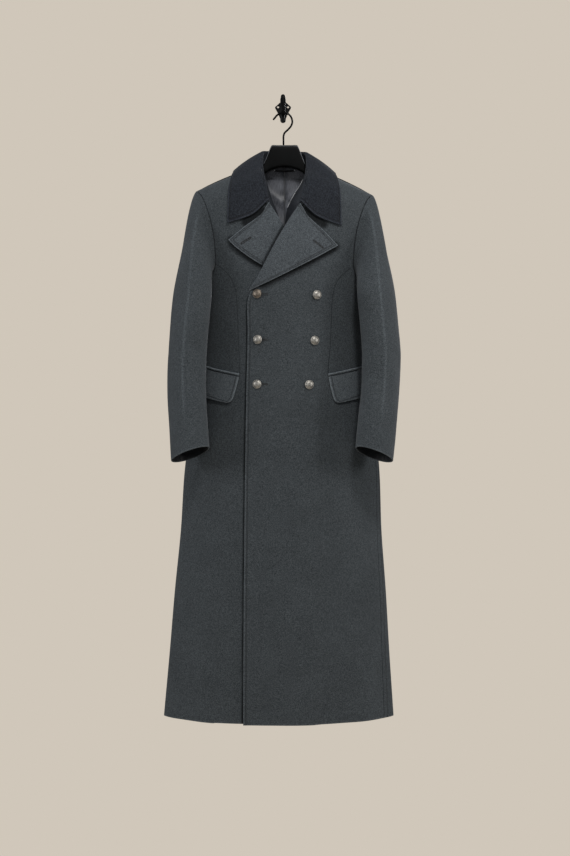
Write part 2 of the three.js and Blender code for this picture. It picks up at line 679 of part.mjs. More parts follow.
// A lapel: four corners over its front, folded back along the roll line. Its first
// columns turn round the front's edge.
function lapel(side, kind, lift) {
  const inPlane = (x, z) => [frontTurn(side * x, z), z];
  const roll = [LAPEL_APEX, ...LAPEL_ROLL_ROWS.map((r) => [FRONT[r].inner_x, FRONT[r].inner_z])].reverse();
  const lower = (u) => {
    const bend = LAPEL_BEND[kind];
    const quadratic = (a, b, c) => a * (1 - u) * (1 - u) + 2 * b * u * (1 - u) + c * u * u;
    const pull = (axis) => 2 * bend[axis] - (LAPEL_BREAK[axis] + LAPEL_POINT[kind][axis]) / 2;
    return [0, 1].map((axis) => quadratic(LAPEL_BREAK[axis], pull(axis), LAPEL_POINT[kind][axis]));
  };
  const upper = (u) => [0, 1].map((axis) => mix(LAPEL_APEX[axis], LAPEL_NOTCH[axis], u));
  const end = (v) => [0, 1].map((axis) => mix(LAPEL_POINT[kind][axis], LAPEL_NOTCH[axis], v));
  const last = roll.length - 1;
  const place = (u, v) => {
    const row = v * last;
    const below = Math.min(last - 1, Math.floor(row));
    const onRoll = [0, 1].map((axis) => mix(roll[below][axis], roll[below + 1][axis], row - below));
    return [0, 1].map((axis) => {
      const corners = mix(mix(LAPEL_BREAK[axis], LAPEL_POINT[kind][axis], u),
        mix(LAPEL_APEX[axis], LAPEL_NOTCH[axis], u), v);
      return mix(lower(u)[axis], upper(u)[axis], v) + mix(onRoll[axis], end(v)[axis], u) - corners;
    });
  };
  const top = -LAPEL_GAP - LAPEL_THICK;
  const columns = [
    { aside: LAPEL_TURN_OUT, out: top + LAPEL_EDGE_ROUND, in: WOOL - LAPEL_EDGE_LAP },
    { aside: LAID_GAP, out: top, in: WOOL - LAPEL_EDGE_LAP },
    { aside: LAID_GAP - LEAST_STEP, out: top, in: -LAPEL_GAP },
  ];
  const outer = [];
  const inner = [];
  for (let r = 0; r <= last; r += 1) {
    const v = r / last;
    const outerLine = [];
    const innerLine = [];
    const push = (x, z, out, into) => {
      const [turn, height] = inPlane(x, z);
      const raise = lift(turn, height);
      outerLine.push(bodyPoint(turn, height, out - raise));
      innerLine.push(bodyPoint(turn, height, into - raise));
    };
    const edge = place(0, v);
    const toward = [edge[0] - place(0.2, v)[0], edge[1] - place(0.2, v)[1]];
    const reach = Math.hypot(...toward);
    columns.forEach((column) => {
      push(edge[0] + (toward[0] / reach) * column.aside, edge[1] + (toward[1] / reach) * column.aside,
        column.out, column.in);
    });
    for (let c = 1; c <= LAPEL_FACES; c += 1) {
      const [x, z] = place(c / LAPEL_FACES, v);
      push(x, z, top, -LAPEL_GAP);
    }
    outer.push(outerLine);
    inner.push(innerLine);
  }
  return wall(outer, inner);
}

// Moves a point of the collar out of the body, so that the fall lies on it
function offBody(point, isFront) {
  if (point.z > shoulderZ(point.x)) return point;
  const turn = isFront ? frontTurn(point.x, point.z) : backTurn(point.x, point.z);
  const round = Math.min(1, (shoulderZ(point.x) - point.z) / SHOULDER_ROUND);
  const clear = COLLAR_OFF_BODY + COLLAR_OVER_ROUND * 2 * Math.sqrt(round * (1 - round));
  const laid = bodyForm(turn, point.z, -clear);
  return (isFront ? laid.y < point.y : laid.y > point.y) ? laid : point;
}

// The collar's cut at one station: up the stand, round the fold, down the fall
function collarSection(row, seam, away) {
  const roll = new THREE.Vector3(row.roll_x, row.roll_y, row.roll_z);
  const edge = new THREE.Vector3(row.edge_x, row.edge_y, row.edge_z);
  const up = roll.clone().sub(seam).normalize();
  const down = edge.clone().sub(roll).normalize();
  const inside = down.clone().sub(up).normalize();
  const out = new THREE.Vector3(row.out_x, row.out_y, row.out_z);
  out.addScaledVector(inside, -out.dot(inside)).normalize();
  const middle = roll.clone().addScaledVector(inside, COLLAR_FOLD);
  const fold = [-90, -45, 0, 45, 90].map((angle) => middle.clone()
    .addScaledVector(inside, -COLLAR_FOLD * Math.cos(angle * DEGREE))
    .addScaledVector(out, COLLAR_FOLD * Math.sin(angle * DEGREE)));
  const aside = COLLAR_FOOT_GAP + (COLLAR_THICK / 2) * away.clone().cross(up).length();
  const foot = seam.clone().addScaledVector(away, aside);
  const fall = [0.3, 0.65, 1].map((t) => offBody(fold[4].clone().lerp(edge, t)
    .addScaledVector(out, COLLAR_FALL_BOW * 4 * t * (1 - t)), row.out_y < 0));
  return [foot, foot.clone().lerp(fold[0], 0.55), ...fold, ...fall];
}

function addCollar() {
  const back = backGrid();
  const front = frontGrid(0, -TIP_X);
  const neckline = [
    ...back[0].slice(0, BACK_NECK_FACES + 1).map((seam, c) => ({ seam, below: back[1][c] })),
    ...front.slice(1, COLLAR.length - BACK_NECK_FACES).map((line) => ({ seam: line[0], below: line[1] })),
  ];
  const middleOfWall = ([turn, z]) => bodyForm(turn, z, WOOL / 2);
  const stations = COLLAR.map((row, i) => {
    const seam = middleOfWall(neckline[i].seam);
    const away = seam.clone().sub(middleOfWall(neckline[i].below)).normalize();
    return { ...row, i, seam, away };
  });
  const steps = [];
  for (let k = 0; k <= (COLLAR.length - 1) * COLLAR_STEPS; k += 1) {
    const at = k / COLLAR_STEPS;
    const below = Math.min(COLLAR.length - 2, Math.floor(at));
    const between = (column) => [column, alongTable(stations, 'i', at, column)];
    const row = Object.fromEntries(COLLAR_COLUMNS.map(between));
    const seam = stations[below].seam.clone().lerp(stations[below + 1].seam, at - below);
    const away = stations[below].away.clone().lerp(stations[below + 1].away, at - below).normalize();
    steps.push({ row, seam, away });
  }
  const half = steps.map(({ row, seam, away }, i) => {
    const line = collarSection(row, seam, away);
    if (i === steps.length - 1) COLLAR_END_DIP.forEach((dip, c) => { line[COLLAR_FALL_START + c].z -= dip; });
    return line;
  });
  const flipped = half.slice(1).reverse().map((line) => line.map((p) => new THREE.Vector3(-p.x, p.y, p.z)));
  const rows = [...flipped, ...half];
  const last = rows.length - 1;
  const shifted = (amount) => rows.map((line, r) => line.map((point, c) => {
    const along = rows[Math.min(last, r + 1)][c].clone().sub(rows[Math.max(0, r - 1)][c]);
    const across = line[Math.min(line.length - 1, c + 1)].clone().sub(line[Math.max(0, c - 1)]);
    const moved = point.clone().addScaledVector(along.cross(across).normalize(), amount);
    return hang(moved.x, moved.y, moved.z);
  }));
  add('collar', wall(shifted(COLLAR_THICK / 2), shifted(-COLLAR_THICK / 2)), 'collar_wool');
}

// Flap and welt lie on the front along the pocket line
function pocketLine(side, u, down) {
  const startTurn = frontTurn(POCKET_START[0], POCKET_START[1]);
  const endZ = SIDE_BODY_Z[SIDE_BODY_Z.length - 1];
  const endTurn = sideSeamTurn(endZ) - POCKET_END_IN;
  const z = mix(POCKET_START[1], endZ, u) - down;
  return [side * mix(startTurn, endTurn, u), z];
}

function flap(side) {
  const rows = named(FLAP_CORNER_ROWS, FLAP_CORNER_COLUMNS);
  const deep = rows[rows.length - 1].down;
  const grid = rows.map(({ down, cut }) => {
    const start = (FLAP_SLANT * down) / deep + cut;
    const line = [];
    for (let c = 0; c <= FLAP_FACES; c += 1) {
      line.push(pocketLine(side, mix(start, 1, c / FLAP_FACES), down));
    }
    return line;
  });
  return panel(grid, FLAP_THICK, () => FLAP_THICK + LAID_GAP);
}

function welt(side) {
  const grid = [-WELT_HIGH, -WELT_HIGH / 2, 0].map((down) => {
    const line = [];
    for (let c = 0; c <= FLAP_FACES; c += 1) line.push(pocketLine(side, c / FLAP_FACES, down));
    return line;
  });
  return panel(grid, WELT_THICK, () => WELT_THICK + LAID_GAP);
}

function button(x, z) {
  const turn = frontTurn(x, z);
  const lift = topLift(turn, z);
  const seat = bodyPoint(turn, z, -lift - BUTTON_SEAT);
  const points = BUTTON_PROFILE.map(([r, h]) => new THREE.Vector2(r * BUTTON_RADIUS, h * BUTTON_HIGH));
  const geometry = new THREE.LatheGeometry(points, BUTTON_SIDES);
  const normal = bodyPoint(turn, z, -lift - 10).sub(seat).normalize();
  const pose = new THREE.Quaternion().setFromUnitVectors(new THREE.Vector3(0, 1, 0), normal);
  geometry.applyQuaternion(pose);
  geometry.translate(seat.x, seat.y, seat.z);
  return geometry;
}

// Lining of the back, as far down as it can be seen through the neck
function backLining() {
  const grid = [];
  const [rows, columns] = LINING_FACES;
  for (let r = 0; r <= rows; r += 1) {
    const line = [];
    for (let c = 0; c <= columns; c += 1) {
      const aside = mix(-LINING_HALF_TURN, LINING_HALF_TURN, c / columns);
      const round = Math.min(1, (aside / LINING_NECK_TURN) ** 2);
      const neck = mix(BACK_MIDDLE_Z[0], NECK_Z, round) - LINING_BELOW_NECK;
      const low = Math.max(0, Math.abs(aside) - LINING_FALL_TURN) * LINING_FALL;
      line.push([2 - aside, mix(neck - low, LINING_BOTTOM_Z, r / rows)]);
    }
    grid.push(line);
  }
  return panel(grid, SATIN, () => -WOOL - LAID_GAP);
}

// The front's lining turns back into the neck along the roll line
function neckFacing(side, label) {
  const outer = [];
  const inner = [];
  FACING_ROWS.forEach((r, i) => {
    const edge = [side * (FRONT[r].inner_x + FACING_START[0]), FRONT[r].inner_z + FACING_START[1]];
    const start = bodyPoint(frontTurn(edge[0], edge[1]), edge[1], WOOL + LAID_GAP);
    const inset = FACING_INNER[label][i];
    const finish = hang(inset[0], start.y + FACING_BACK, inset[1]);
    const bend = start.clone().lerp(finish, FACING_BEND);
    bend.y -= FACING_BOW;
    const through = new THREE.Vector3(side * FACING_SHIFT, FACING_THICK, 0);
    outer.push([start, bend, finish]);
    inner.push([start, bend, finish].map((p) => p.clone().add(through)));
  });
  return wall(outer, inner);
}

function tubeRings(path, radiusAt, sides, across) {
  return path.map((point, i) => {
    const ahead = path[Math.min(path.length - 1, i + 1)].clone().sub(path[Math.max(0, i - 1)]).normalize();
    const other = ahead.clone().cross(across).normalize();
    const ring = [];
    for (let k = 0; k < sides; k += 1) {
      const angle = (2 * Math.PI * k) / sides;
      ring.push(point.clone().addScaledVector(across, Math.cos(angle) * radiusAt(i))
        .addScaledVector(other, Math.sin(angle) * radiusAt(i)));
    }
    return ring;
  });
}

function hangerBody() {
  const otherHalf = HANGER.slice(1).reverse().map((row) => ({ ...row, x: -row.x }));
  const rings = [...otherHalf, ...HANGER].map((row) => {
    const ring = [];
    const middle = (row.top + row.bottom) / 2;
    const high = (row.top - row.bottom) / 2;
    for (let k = 0; k < HANGER_RING; k += 1) {
      const angle = (2 * Math.PI * k) / HANGER_RING;
      const squared = (v) => (Math.abs(v) < 1e-9 ? 0 : Math.sign(v) * Math.abs(v) ** row.corner);
      const y = RIDGE_Y + row.deep * squared(Math.cos(angle));
      const lean = Math.abs(row.x) > HANGER_NECK_HALF ? SHOULDER_LEAN * row.x : 0;
      ring.push(new THREE.Vector3(row.x + CLOTH_X, y, middle + high * squared(Math.sin(angle)) - lean));
    }
    return ring;
  });
  return ringSolid(rings);
}

function hangerWire() {
  const guide = WIRE_ROUTE.map(([x, z]) => new THREE.Vector3(x + CLOTH_X, RIDGE_Y, z));
  const path = new THREE.CatmullRomCurve3(guide).getPoints(WIRE_STEPS);
  return ringSolid(tubeRings(path, () => WIRE_RADIUS, WIRE_SIDES, new THREE.Vector3(0, 1, 0)));
}

function hangingLoop() {
  const half = LOOP_LENGTH / 2;
  const path = LOOP_STATIONS.map((t) => {
    const free = 1 - t * t;
    return new THREE.Vector3(CLOTH_X + half * t, LOOP_Y - LOOP_BOW * free, LOOP_Z - LOOP_SAG * free);
  });
  return ringSolid(tubeRings(path, () => LOOP_RADIUS, LOOP_SIDES, new THREE.Vector3(0, 1, 0)));
}

function hookPlate() {
  const outline = new THREE.Shape();
  const upper = PLATE_TOP - PLATE_HALF;
  const lower = PLATE_BOTTOM + PLATE_HALF;
  const [arcFrom, arcTo] = EAR_ARC;
  outline.moveTo(PLATE_HALF, upper);
  outline.absarc(0, upper, PLATE_HALF, 0, Math.PI, false);
  outline.lineTo(-PLATE_HALF, PLATE_WAIST_TOP);
  outline.lineTo(-EAR_TOP[0], EAR_TOP[1]);
  outline.absarc(-EAR_MIDDLE[0], EAR_MIDDLE[1], EAR_RADIUS, Math.PI - arcTo, Math.PI - arcFrom, false);
  outline.lineTo(-EAR_LOW[0], EAR_LOW[1]);
  outline.lineTo(-PLATE_HALF, PLATE_WAIST_BOTTOM);
  outline.absarc(0, lower, PLATE_HALF, Math.PI, 2 * Math.PI, false);
  outline.lineTo(PLATE_HALF, PLATE_WAIST_BOTTOM);
  outline.lineTo(EAR_LOW[0], EAR_LOW[1]);
  outline.absarc(EAR_MIDDLE[0], EAR_MIDDLE[1], EAR_RADIUS, arcFrom, arcTo, false);
  outline.lineTo(PLATE_HALF, PLATE_WAIST_TOP);
  outline.closePath();
  [-1, 1].forEach((side) => {
    const hole = new THREE.Path();
    hole.absarc(side * EAR_HOLE.x, EAR_HOLE.z, EAR_HOLE.radius, 0, 2 * Math.PI, true);
    outline.holes.push(hole);
  });
  const settings = { depth: PLATE_THICK, bevelEnabled: false, curveSegments: PLATE_CURVE_FACES };
  const geometry = new THREE.ExtrudeGeometry(outline, settings);
  geometry.rotateX(Math.PI / 2);
  return geometry;
}

function hookArm() {
  const path = ARM_ROUTE.map(([y, z]) => new THREE.Vector3(0, y, z));
  const radius = (i) => ARM_RADIUS * ARM_ROUTE[i][2];
  return ringSolid(tubeRings(path, radius, ARM_SIDES, new THREE.Vector3(1, 0, 0)));
}

add('front_left', panel(frontGrid(0, -TIP_X), WOOL, topLift, frontKept), 'wool');
const underFront = mirrored(frontGrid(UNDER_FRONT_SHORTER, UNDER_EDGE_X));
add('front_right', panel(underFront, WOOL, () => 0, frontKept), 'wool');
add('side_left', panel(sideGrid(), WOOL), 'wool');
add('side_right', panel(mirrored(sideGrid()), WOOL), 'wool');
add('back_left', panel(backGrid(), WOOL), 'wool');
add('back_right', panel(mirrored(backGrid()), WOOL), 'wool');
addSleeve(1, 'left');
addSleeve(-1, 'right');
addCollar();
add('lapel_left', lapel(1, 'top', topLift), 'wool');
add('lapel_right', lapel(-1, 'under', () => 0), 'wool');
add('pocket_flap_left', flap(1), 'wool');
add('pocket_flap_right', flap(-1), 'wool');
add('pocket_welt_left', welt(1), 'wool');
add('pocket_welt_right', welt(-1), 'wool');
BUTTON_PLACES.forEach(([label, x, z]) => add(`button_${label}`, button(x, z), 'button'));
add('back_lining', backLining(), 'satin');
add('neck_facing_left', neckFacing(1, 'left'), 'satin');
add('neck_facing_right', neckFacing(-1, 'right'), 'satin');
add('hanging_loop', hangingLoop(), 'satin');
add('hanger_body', hangerBody(), 'hanger');
add('hanger_wire', hangerWire(), 'iron');
add('hook_plate', hookPlate(), 'iron');
add('hook_arm', hookArm(), 'iron');

export default part;
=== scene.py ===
# %% [markdown]
# # A long wool greatcoat on its hanger
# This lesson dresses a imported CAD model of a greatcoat. The frame comes first: its solids give
# the coat's size and place, and every piece made below stands for one of them and rides on the
# same body. The wearer's left is +X, the hook's plate lies in the plane y = 0 and +Z is up.

# %% The frame
import math

import bpy
import numpy as np
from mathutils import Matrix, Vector


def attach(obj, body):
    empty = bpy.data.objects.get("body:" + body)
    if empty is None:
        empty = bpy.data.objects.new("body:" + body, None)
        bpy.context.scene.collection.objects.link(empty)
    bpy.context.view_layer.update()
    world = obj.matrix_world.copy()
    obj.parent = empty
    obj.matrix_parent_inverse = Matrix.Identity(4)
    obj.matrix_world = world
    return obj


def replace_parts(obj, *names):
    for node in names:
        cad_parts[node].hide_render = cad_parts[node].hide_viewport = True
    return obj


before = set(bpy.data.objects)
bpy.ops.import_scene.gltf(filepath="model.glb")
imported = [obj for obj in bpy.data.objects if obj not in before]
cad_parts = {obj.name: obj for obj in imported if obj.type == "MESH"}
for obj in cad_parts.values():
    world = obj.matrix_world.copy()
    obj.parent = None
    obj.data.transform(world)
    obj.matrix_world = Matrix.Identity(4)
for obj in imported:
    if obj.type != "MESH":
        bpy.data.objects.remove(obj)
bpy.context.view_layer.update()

# %% [markdown]
# ## The camera
# The coat is seen straight on from about three metres, at the height of its waist, with a lens a
# little longer than normal. The camera comes first, so that each piece can be judged in it.

# %% Camera
scene = bpy.context.scene
CAMERA_PLACE = (0.0047, -3.07, -0.771)
LENS_MM = 53.7

camera_data = bpy.data.cameras.new("portrait camera")
camera_data.lens = LENS_MM
camera_data.sensor_width = 36
camera = bpy.data.objects.new("portrait camera", camera_data)
camera.location = CAMERA_PLACE
camera.rotation_euler = (math.radians(90), 0, 0)
scene.collection.objects.link(camera)
scene.camera = camera
print("camera", LENS_MM, "mm at", CAMERA_PLACE)

# %% [markdown]
# ## Curves through a few known points
# A tailor draws a smooth line through a few marks. Two functions here do the same: one reads a
# value off a table at any height, the other walks along a list of points. Both use the slope
# between a mark's neighbours, which gives a calm curve that still meets every mark.

# %% Curves
MM = 0.001


def ease(start, end, at):
    """0 before start, 1 after end, and 3t^2 - 2t^3 between them."""
    t = np.clip((at - start) / (end - start), 0, 1)
    return t * t * (3 - 2 * t)


def mix(a, b, t):
    """Straight from a at t = 0 to b at t = 1."""
    return a + (b - a) * t


def walk(points):
    """Distance walked along a list of points, from 0 at the first."""
    return np.concatenate([[0], np.cumsum(np.linalg.norm(np.diff(points, axis=0), axis=1))])


def neighbours(count):
    """The row before and the row after each one; the first and the last have themselves."""
    return np.maximum(np.arange(count) - 1, 0), np.minimum(np.arange(count) + 1, count - 1)


def cubic(first, last, leaving, arriving, t):
    """From first to last as t goes from 0 to 1, by 3t^2 - 2t^3, plus each end's slope times a
    bump: t(1 - t)^2 for the one that is left and -t^2(1 - t) for the one that is reached."""
    share = t * t * (3 - 2 * t)
    return first * (1 - share) + last * share + leaving * t * (1 - t) ** 2 - arriving * t * t * (1 - t)


def off_table(rows, column, at):
    """The table's column at each value of its first column: a cubic between two rows, whose
    slope at a row is the slope between that row's neighbours."""
    table = np.array(sorted(rows), dtype=float)
    keys, values = table[:, 0], table[:, column]
    at = np.clip(at, keys[0], keys[-1])
    i = np.clip(np.searchsorted(keys, at) - 1, 0, len(keys) - 2)
    low, high = neighbours(len(keys))
    slope = (values[high] - values[low]) / (keys[high] - keys[low])
    span = keys[i + 1] - keys[i]
    return cubic(values[i], values[i + 1], slope[i] * span, slope[i + 1] * span, (at - keys[i]) / span)


print("ease half way:", ease(0, 1, 0.5), "walked 3 and 4:", walk(np.array([[0, 0], [3, 0], [3, 4]]))[-1])

# %% Curves through points


def along(points, at, corners=(), keys=None):
    """The curve through points at fractional row numbers: a cubic between two rows, with slopes
    over the distance between neighbours. At a corner row each side keeps its own slope."""
    points = np.asarray(points, dtype=float)
    count = len(points)
    flat = points.reshape(count, -1)
    keys = walk(flat) if keys is None else keys
    low, high = neighbours(count)
    leaving = (flat[high] - flat[low]) / (keys[high] - keys[low])[:, None]
    arriving = leaving.copy()
    for row in corners:
        leaving[row] = (flat[row + 1] - flat[row]) / (keys[row + 1] - keys[row])
        arriving[row] = (flat[row] - flat[row - 1]) / (keys[row] - keys[row - 1])
    at = np.asarray(at, dtype=float)
    i = np.clip(np.floor(at).astype(int), 0, count - 2)
    t = (at - i)[:, None]
    span = (keys[i + 1] - keys[i])[:, None]
    out = cubic(flat[i], flat[i + 1], leaving[i] * span, arriving[i + 1] * span, t)
    return out.reshape((len(at),) + points.shape[1:])


EDGE_STEPS = (0, 0.25, 0.7, 1.5, 3, 5.5)  # mm from an edge
EDGE_CLEAR = 1.4  # even steps begin this many times the last edge step from the edge


def stations(length, step, start=True):
    """Places from 0 to 1 along a side of that length: even steps, and close ones near an edge,
    where the cloth rounds over. Without start the first side has no close steps."""
    even = np.linspace(0, 1, max(3, int(round(length / step)) + 1))
    near = np.array(EDGE_STEPS) / length
    clear = near[-1] * EDGE_CLEAR
    kept = even[(even > clear if start else even >= 0) & (even < 1 - clear)]
    return np.unique(np.round(np.concatenate([near if start else [0], kept, 1 - near]), 9))


print("height 0.5 of 3 marks:", along([[0, 0], [1, 1], [2, 0]], [0.5])[0])

# %% [markdown]
# ## The hung body
# A coat on a hanger is one soft tube: level cuts through it are flat ovals. A point of the cloth
# is named by how far round it is (in quarter turns from the middle of the front), by its height,
# and by its depth under the outside. Panels, lapels, flaps and lining all use this one form, so
# they lie on each other like real layers. Over the shoulders the oval closes to the ridge that
# the hanger's arms carry.

# %% Sizes of the body, in millimetres
WOOL = 3.0
HEM_Z, CLOTH_X, HEM_SWAY, SWAY_START_Z = -1452, 3.5, -13.6, -600
SHOULDER_LEAN, LEAN_TOP_Z, LEAN_END_Z = 0.022, -350, -650
RIDGE_Y, SHOULDER_ROUND = -52, 60
NECK_X, NECK_Z, TIP_X, TIP_Z = 68, -153, 207, -216
# height, half width, side edge's y, front standing out, back standing out
SECTIONS = [
    (-100, 262, -52, 36, 30), (-220, 258, -50, 80, 34), (-320, 238, -46, 98, 34), (-420, 208, -40, 107, 30),
    (-500, 200, -37, 110, 27), (-600, 201, -36, 108, 25), (-720, 214, -37, 105, 26),
    (-870, 231, -39, 103, 28), (-1012, 238, -41, 102, 29), (-1155, 250, -43, 102, 31),
    (-1297, 260, -45, 101, 33), (-1452, 272, -46, 100, 34),
]
# place round, width, depth at the hem, height where it fades out
SKIRT_FOLDS = [
    (-0.62, 0.10, -4.5, -760), (-0.43, 0.09, 3.5, -820), (0.12, 0.12, 2.5, -900),
    (0.36, 0.10, -3.5, -720), (0.56, 0.09, 4.5, -700), (0.76, 0.07, -3.5, -820),
]
# side (front 1, back -1), x, z, half length, half width, slant in degrees, height of the ridge
CREASES = [
    (1, -148, -345, 70, 16, 100, -2.4), (1, 150, -350, 64, 15, 80, -2.0), (1, -128, -300, 60, 20, 70, 1.6),
    (1, 130, -290, 66, 22, 108, 1.7), (1, -30, -640, 70, 11, 12, 0.9), (1, 20, -604, 60, 9, -14, -0.8),
    (1, 96, -560, 60, 11, 62, 1.2), (1, -100, -575, 64, 12, 118, 1.1), (1, 60, -505, 52, 10, -32, -0.9),
    (1, -20, -520, 60, 12, 26, 0.8), (1, -130, -770, 70, 14, 94, -2.0), (1, 128, -780, 74, 14, 86, -1.9),
    (1, -78, -900, 110, 16, 90, 1.4), (1, -84, -1250, 120, 15, 90, 1.2), (1, 30, -1000, 150, 22, 84, 1.2),
    (1, 66, -1180, 150, 20, 95, -1.4), (1, -150, -1130, 150, 22, 92, 1.6), (1, -10, -1330, 90, 20, 88, -1.2),
    (1, 120, -1330, 90, 16, 92, 1.4), (1, -40, -250, 30, 12, 60, 0.8), (1, 100, -440, 50, 12, 40, 0.9),
    (-1, -120, -330, 80, 16, 70, 2.0), (-1, 126, -340, 80, 16, 112, 1.9), (-1, -60, -420, 90, 16, 40, -1.6),
    (-1, 70, -430, 90, 16, 138, -1.5), (-1, 0, -560, 70, 14, 4, -1.4), (-1, -90, -620, 70, 12, 18, 1.2),
    (-1, 94, -640, 70, 12, 160, 1.3), (-1, -110, -1000, 220, 24, 88, 2.6), (-1, 60, -1100, 240, 26, 92, -2.4),
    (-1, 130, -1180, 200, 22, 95, 2.4), (-1, -40, -1200, 200, 24, 90, -2.0), (-1, 30, -230, 60, 14, 80, 0.9),
]
print(len(SECTIONS), "level cuts,", len(SKIRT_FOLDS), "folds in the skirt and", len(CREASES), "creases")

# %% The form of the hung body
OVAL_POWERS = (2.3, 0.8)  # how square the oval is: the power of the way across, and of what is left
SWAY_POWER = 0.75


def shoulder_z(x):
    """The shoulder's ridge: level height less the slope times the way out from the neck."""
    return NECK_Z - (np.abs(x) - NECK_X) * (NECK_Z - TIP_Z) / (TIP_X - NECK_X)


def crease_height(x, z, side):
    """Sum of soft ridges: each a bell across its width times a bell along its length."""
    total = np.zeros(np.broadcast(x, z).shape)
    for place, at_x, at_z, long, wide, slant, high in CREASES:
        if place != side:
            continue
        c, s = math.cos(math.radians(slant)), math.sin(math.radians(slant))
        run, aside = (x - at_x) * c + (z - at_z) * s, (z - at_z) * c - (x - at_x) * s
        total += high * np.exp(-(run / long) ** 2 - (aside / wide) ** 2)
    return total


def slow_wave(x, z):
    """Three long sine waves that cross: the slight unevenness of heavy cloth."""
    return (0.45 * np.sin(x / 37 + z / 91 + 0.7) + 0.35 * np.sin(x / 61 - z / 53 + 2.1)
            + 0.25 * np.sin(x / 23 + z / 140 - 1.2))


print("the shoulder's ridge at its tip:", shoulder_z(TIP_X), "mm")

# %% The body's form


def body_form(turn, z, depth):
    """x = half width times the sine of the turn; y = side edge plus the oval's bulge; both
    closed in to the ridge by a quarter circle over the shoulder."""
    turn, z, depth = np.broadcast_arrays(*(np.asarray(part, float) for part in (turn, z, depth)))
    across = np.sin(turn * math.pi / 2)
    front_side = np.cos(turn * math.pi / 2) >= 0
    half, side = off_table(SECTIONS, 1, z), off_table(SECTIONS, 2, z)
    bulge = np.clip(1 - np.abs(across) ** OVAL_POWERS[0], 0, None) ** OVAL_POWERS[1]
    folds = sum(high * np.exp(-((turn - at) / wide) ** 2) * ease(start, HEM_Z, z)
                for at, wide, high, start in SKIRT_FOLDS)
    flat_x = half * across
    calm = ease(0, 0.5, bulge) * ease(-10, 30, shoulder_z(flat_x) - z)
    soft_front = (crease_height(flat_x, z, 1) + slow_wave(flat_x, z)) * calm
    soft_back = (crease_height(flat_x, z, -1) + slow_wave(-flat_x, z + 200)) * calm
    front = off_table(SECTIONS, 3, z) + folds
    y_out = np.where(front_side, -(front - depth) * bulge - soft_front,
                     (off_table(SECTIONS, 4, z) - depth) * bulge + soft_back)
    x = (half - depth) * across
    under = np.clip((shoulder_z(x) - z) / SHOULDER_ROUND, 0, 1)
    rise = np.sqrt(1 - (1 - under) ** 2)
    return np.stack([x, RIDGE_Y + (side + y_out - RIDGE_Y) * rise, z - depth * (1 - rise)], -1)


def hang(points):
    """The hem swings aside below the waist and the left shoulder hangs a little lower."""
    x, y, z = points[..., 0], points[..., 1], points[..., 2]
    sway = HEM_SWAY * np.clip((SWAY_START_Z - z) / (SWAY_START_Z - HEM_Z), 0, None) ** SWAY_POWER
    lean = SHOULDER_LEAN * x * ease(LEAN_END_Z, LEAN_TOP_Z, z)
    return np.stack([x + CLOTH_X + sway, y, z - lean], -1)


def body(turn, z, depth=0.0):
    """A hung point of the coat's body."""
    return hang(body_form(turn, z, depth))


def front_turn(x, z):
    """The turn at which the front passes x: the arc sine of x over the half width."""
    return np.arcsin(np.clip(x / off_table(SECTIONS, 1, z), -1, 1)) / (math.pi / 2)


def front_x(turn, z):
    """Where the front is at a turn: the half width times the sine."""
    return off_table(SECTIONS, 1, z) * np.sin(turn * math.pi / 2)


SIDE_SEAM = [(-436, 1), (-650, 4), (-850, 8), (-1150, 15), (HEM_Z, 24)]


def side_seam_turn(z):
    """The side seam runs a little in front of the side edge."""
    z = np.asarray(z, float)
    return front_turn(off_table(SECTIONS, 1, z) - off_table(SIDE_SEAM, 1, z), z)


print("half width at the hem", float(off_table(SECTIONS, 1, np.array([HEM_Z]))[0]), "mm")

# %% [markdown]
# ## From grids to sewn pieces
# Each piece of cloth is worked out as two grids of points, its outside and its inside, and closed
# into one thin shell. Real edges are turned under and pressed, so the two sides meet in a half
# round. Where two pieces are seamed, each rolls in a little and a fine groove is left. The grid
# also carries its own flat size as a UV map, and its distance from the rows of stitching as
# attributes, because stitching has to follow the cloth.

# %% Distances on a grid


def lengths(grid, axis):
    """Distance walked along the grid from its first line, summed point to point."""
    step = np.linalg.norm(np.diff(grid, axis=axis), axis=-1)
    pad = [(1, 0), (0, 0)] if axis == 0 else [(0, 0), (1, 0)]
    return np.cumsum(np.pad(step, pad), axis=axis)


def normals(grid):
    """Unit cross product of the two directions of the grid."""
    n = np.cross(np.gradient(grid, axis=0), np.gradient(grid, axis=1))
    return n / np.maximum(1e-9, np.linalg.norm(n, axis=-1, keepdims=True))


def edge_distances(middle, keep):
    """Four grids: how far each point lies from the left, right, top and bottom of what is kept."""
    rows, columns = middle.shape[:2]
    across, down = lengths(middle, 1), lengths(middle, 0)
    point_kept = np.zeros((rows, columns), bool)
    for r, c in ((0, 0), (0, 1), (1, 0), (1, 1)):
        point_kept[r:rows - 1 + r, c:columns - 1 + c] |= keep
    first, last = point_kept.argmax(1), columns - 1 - point_kept[:, ::-1].argmax(1)
    top, bottom = point_kept.argmax(0), rows - 1 - point_kept[::-1].argmax(0)
    lines, posts = np.arange(rows), np.arange(columns)
    return (across - across[lines, first][:, None], across[lines, last][:, None] - across,
            down - down[top, posts][None], down[bottom, posts][None] - down)


unit_grid = np.stack(np.meshgrid(np.arange(4.0), np.arange(3.0)) + [np.zeros((3, 4))], -1)
print("a grid of 3 by 2 steps is", lengths(unit_grid, 1).max(), "by", lengths(unit_grid, 0).max())

# %% Meshes


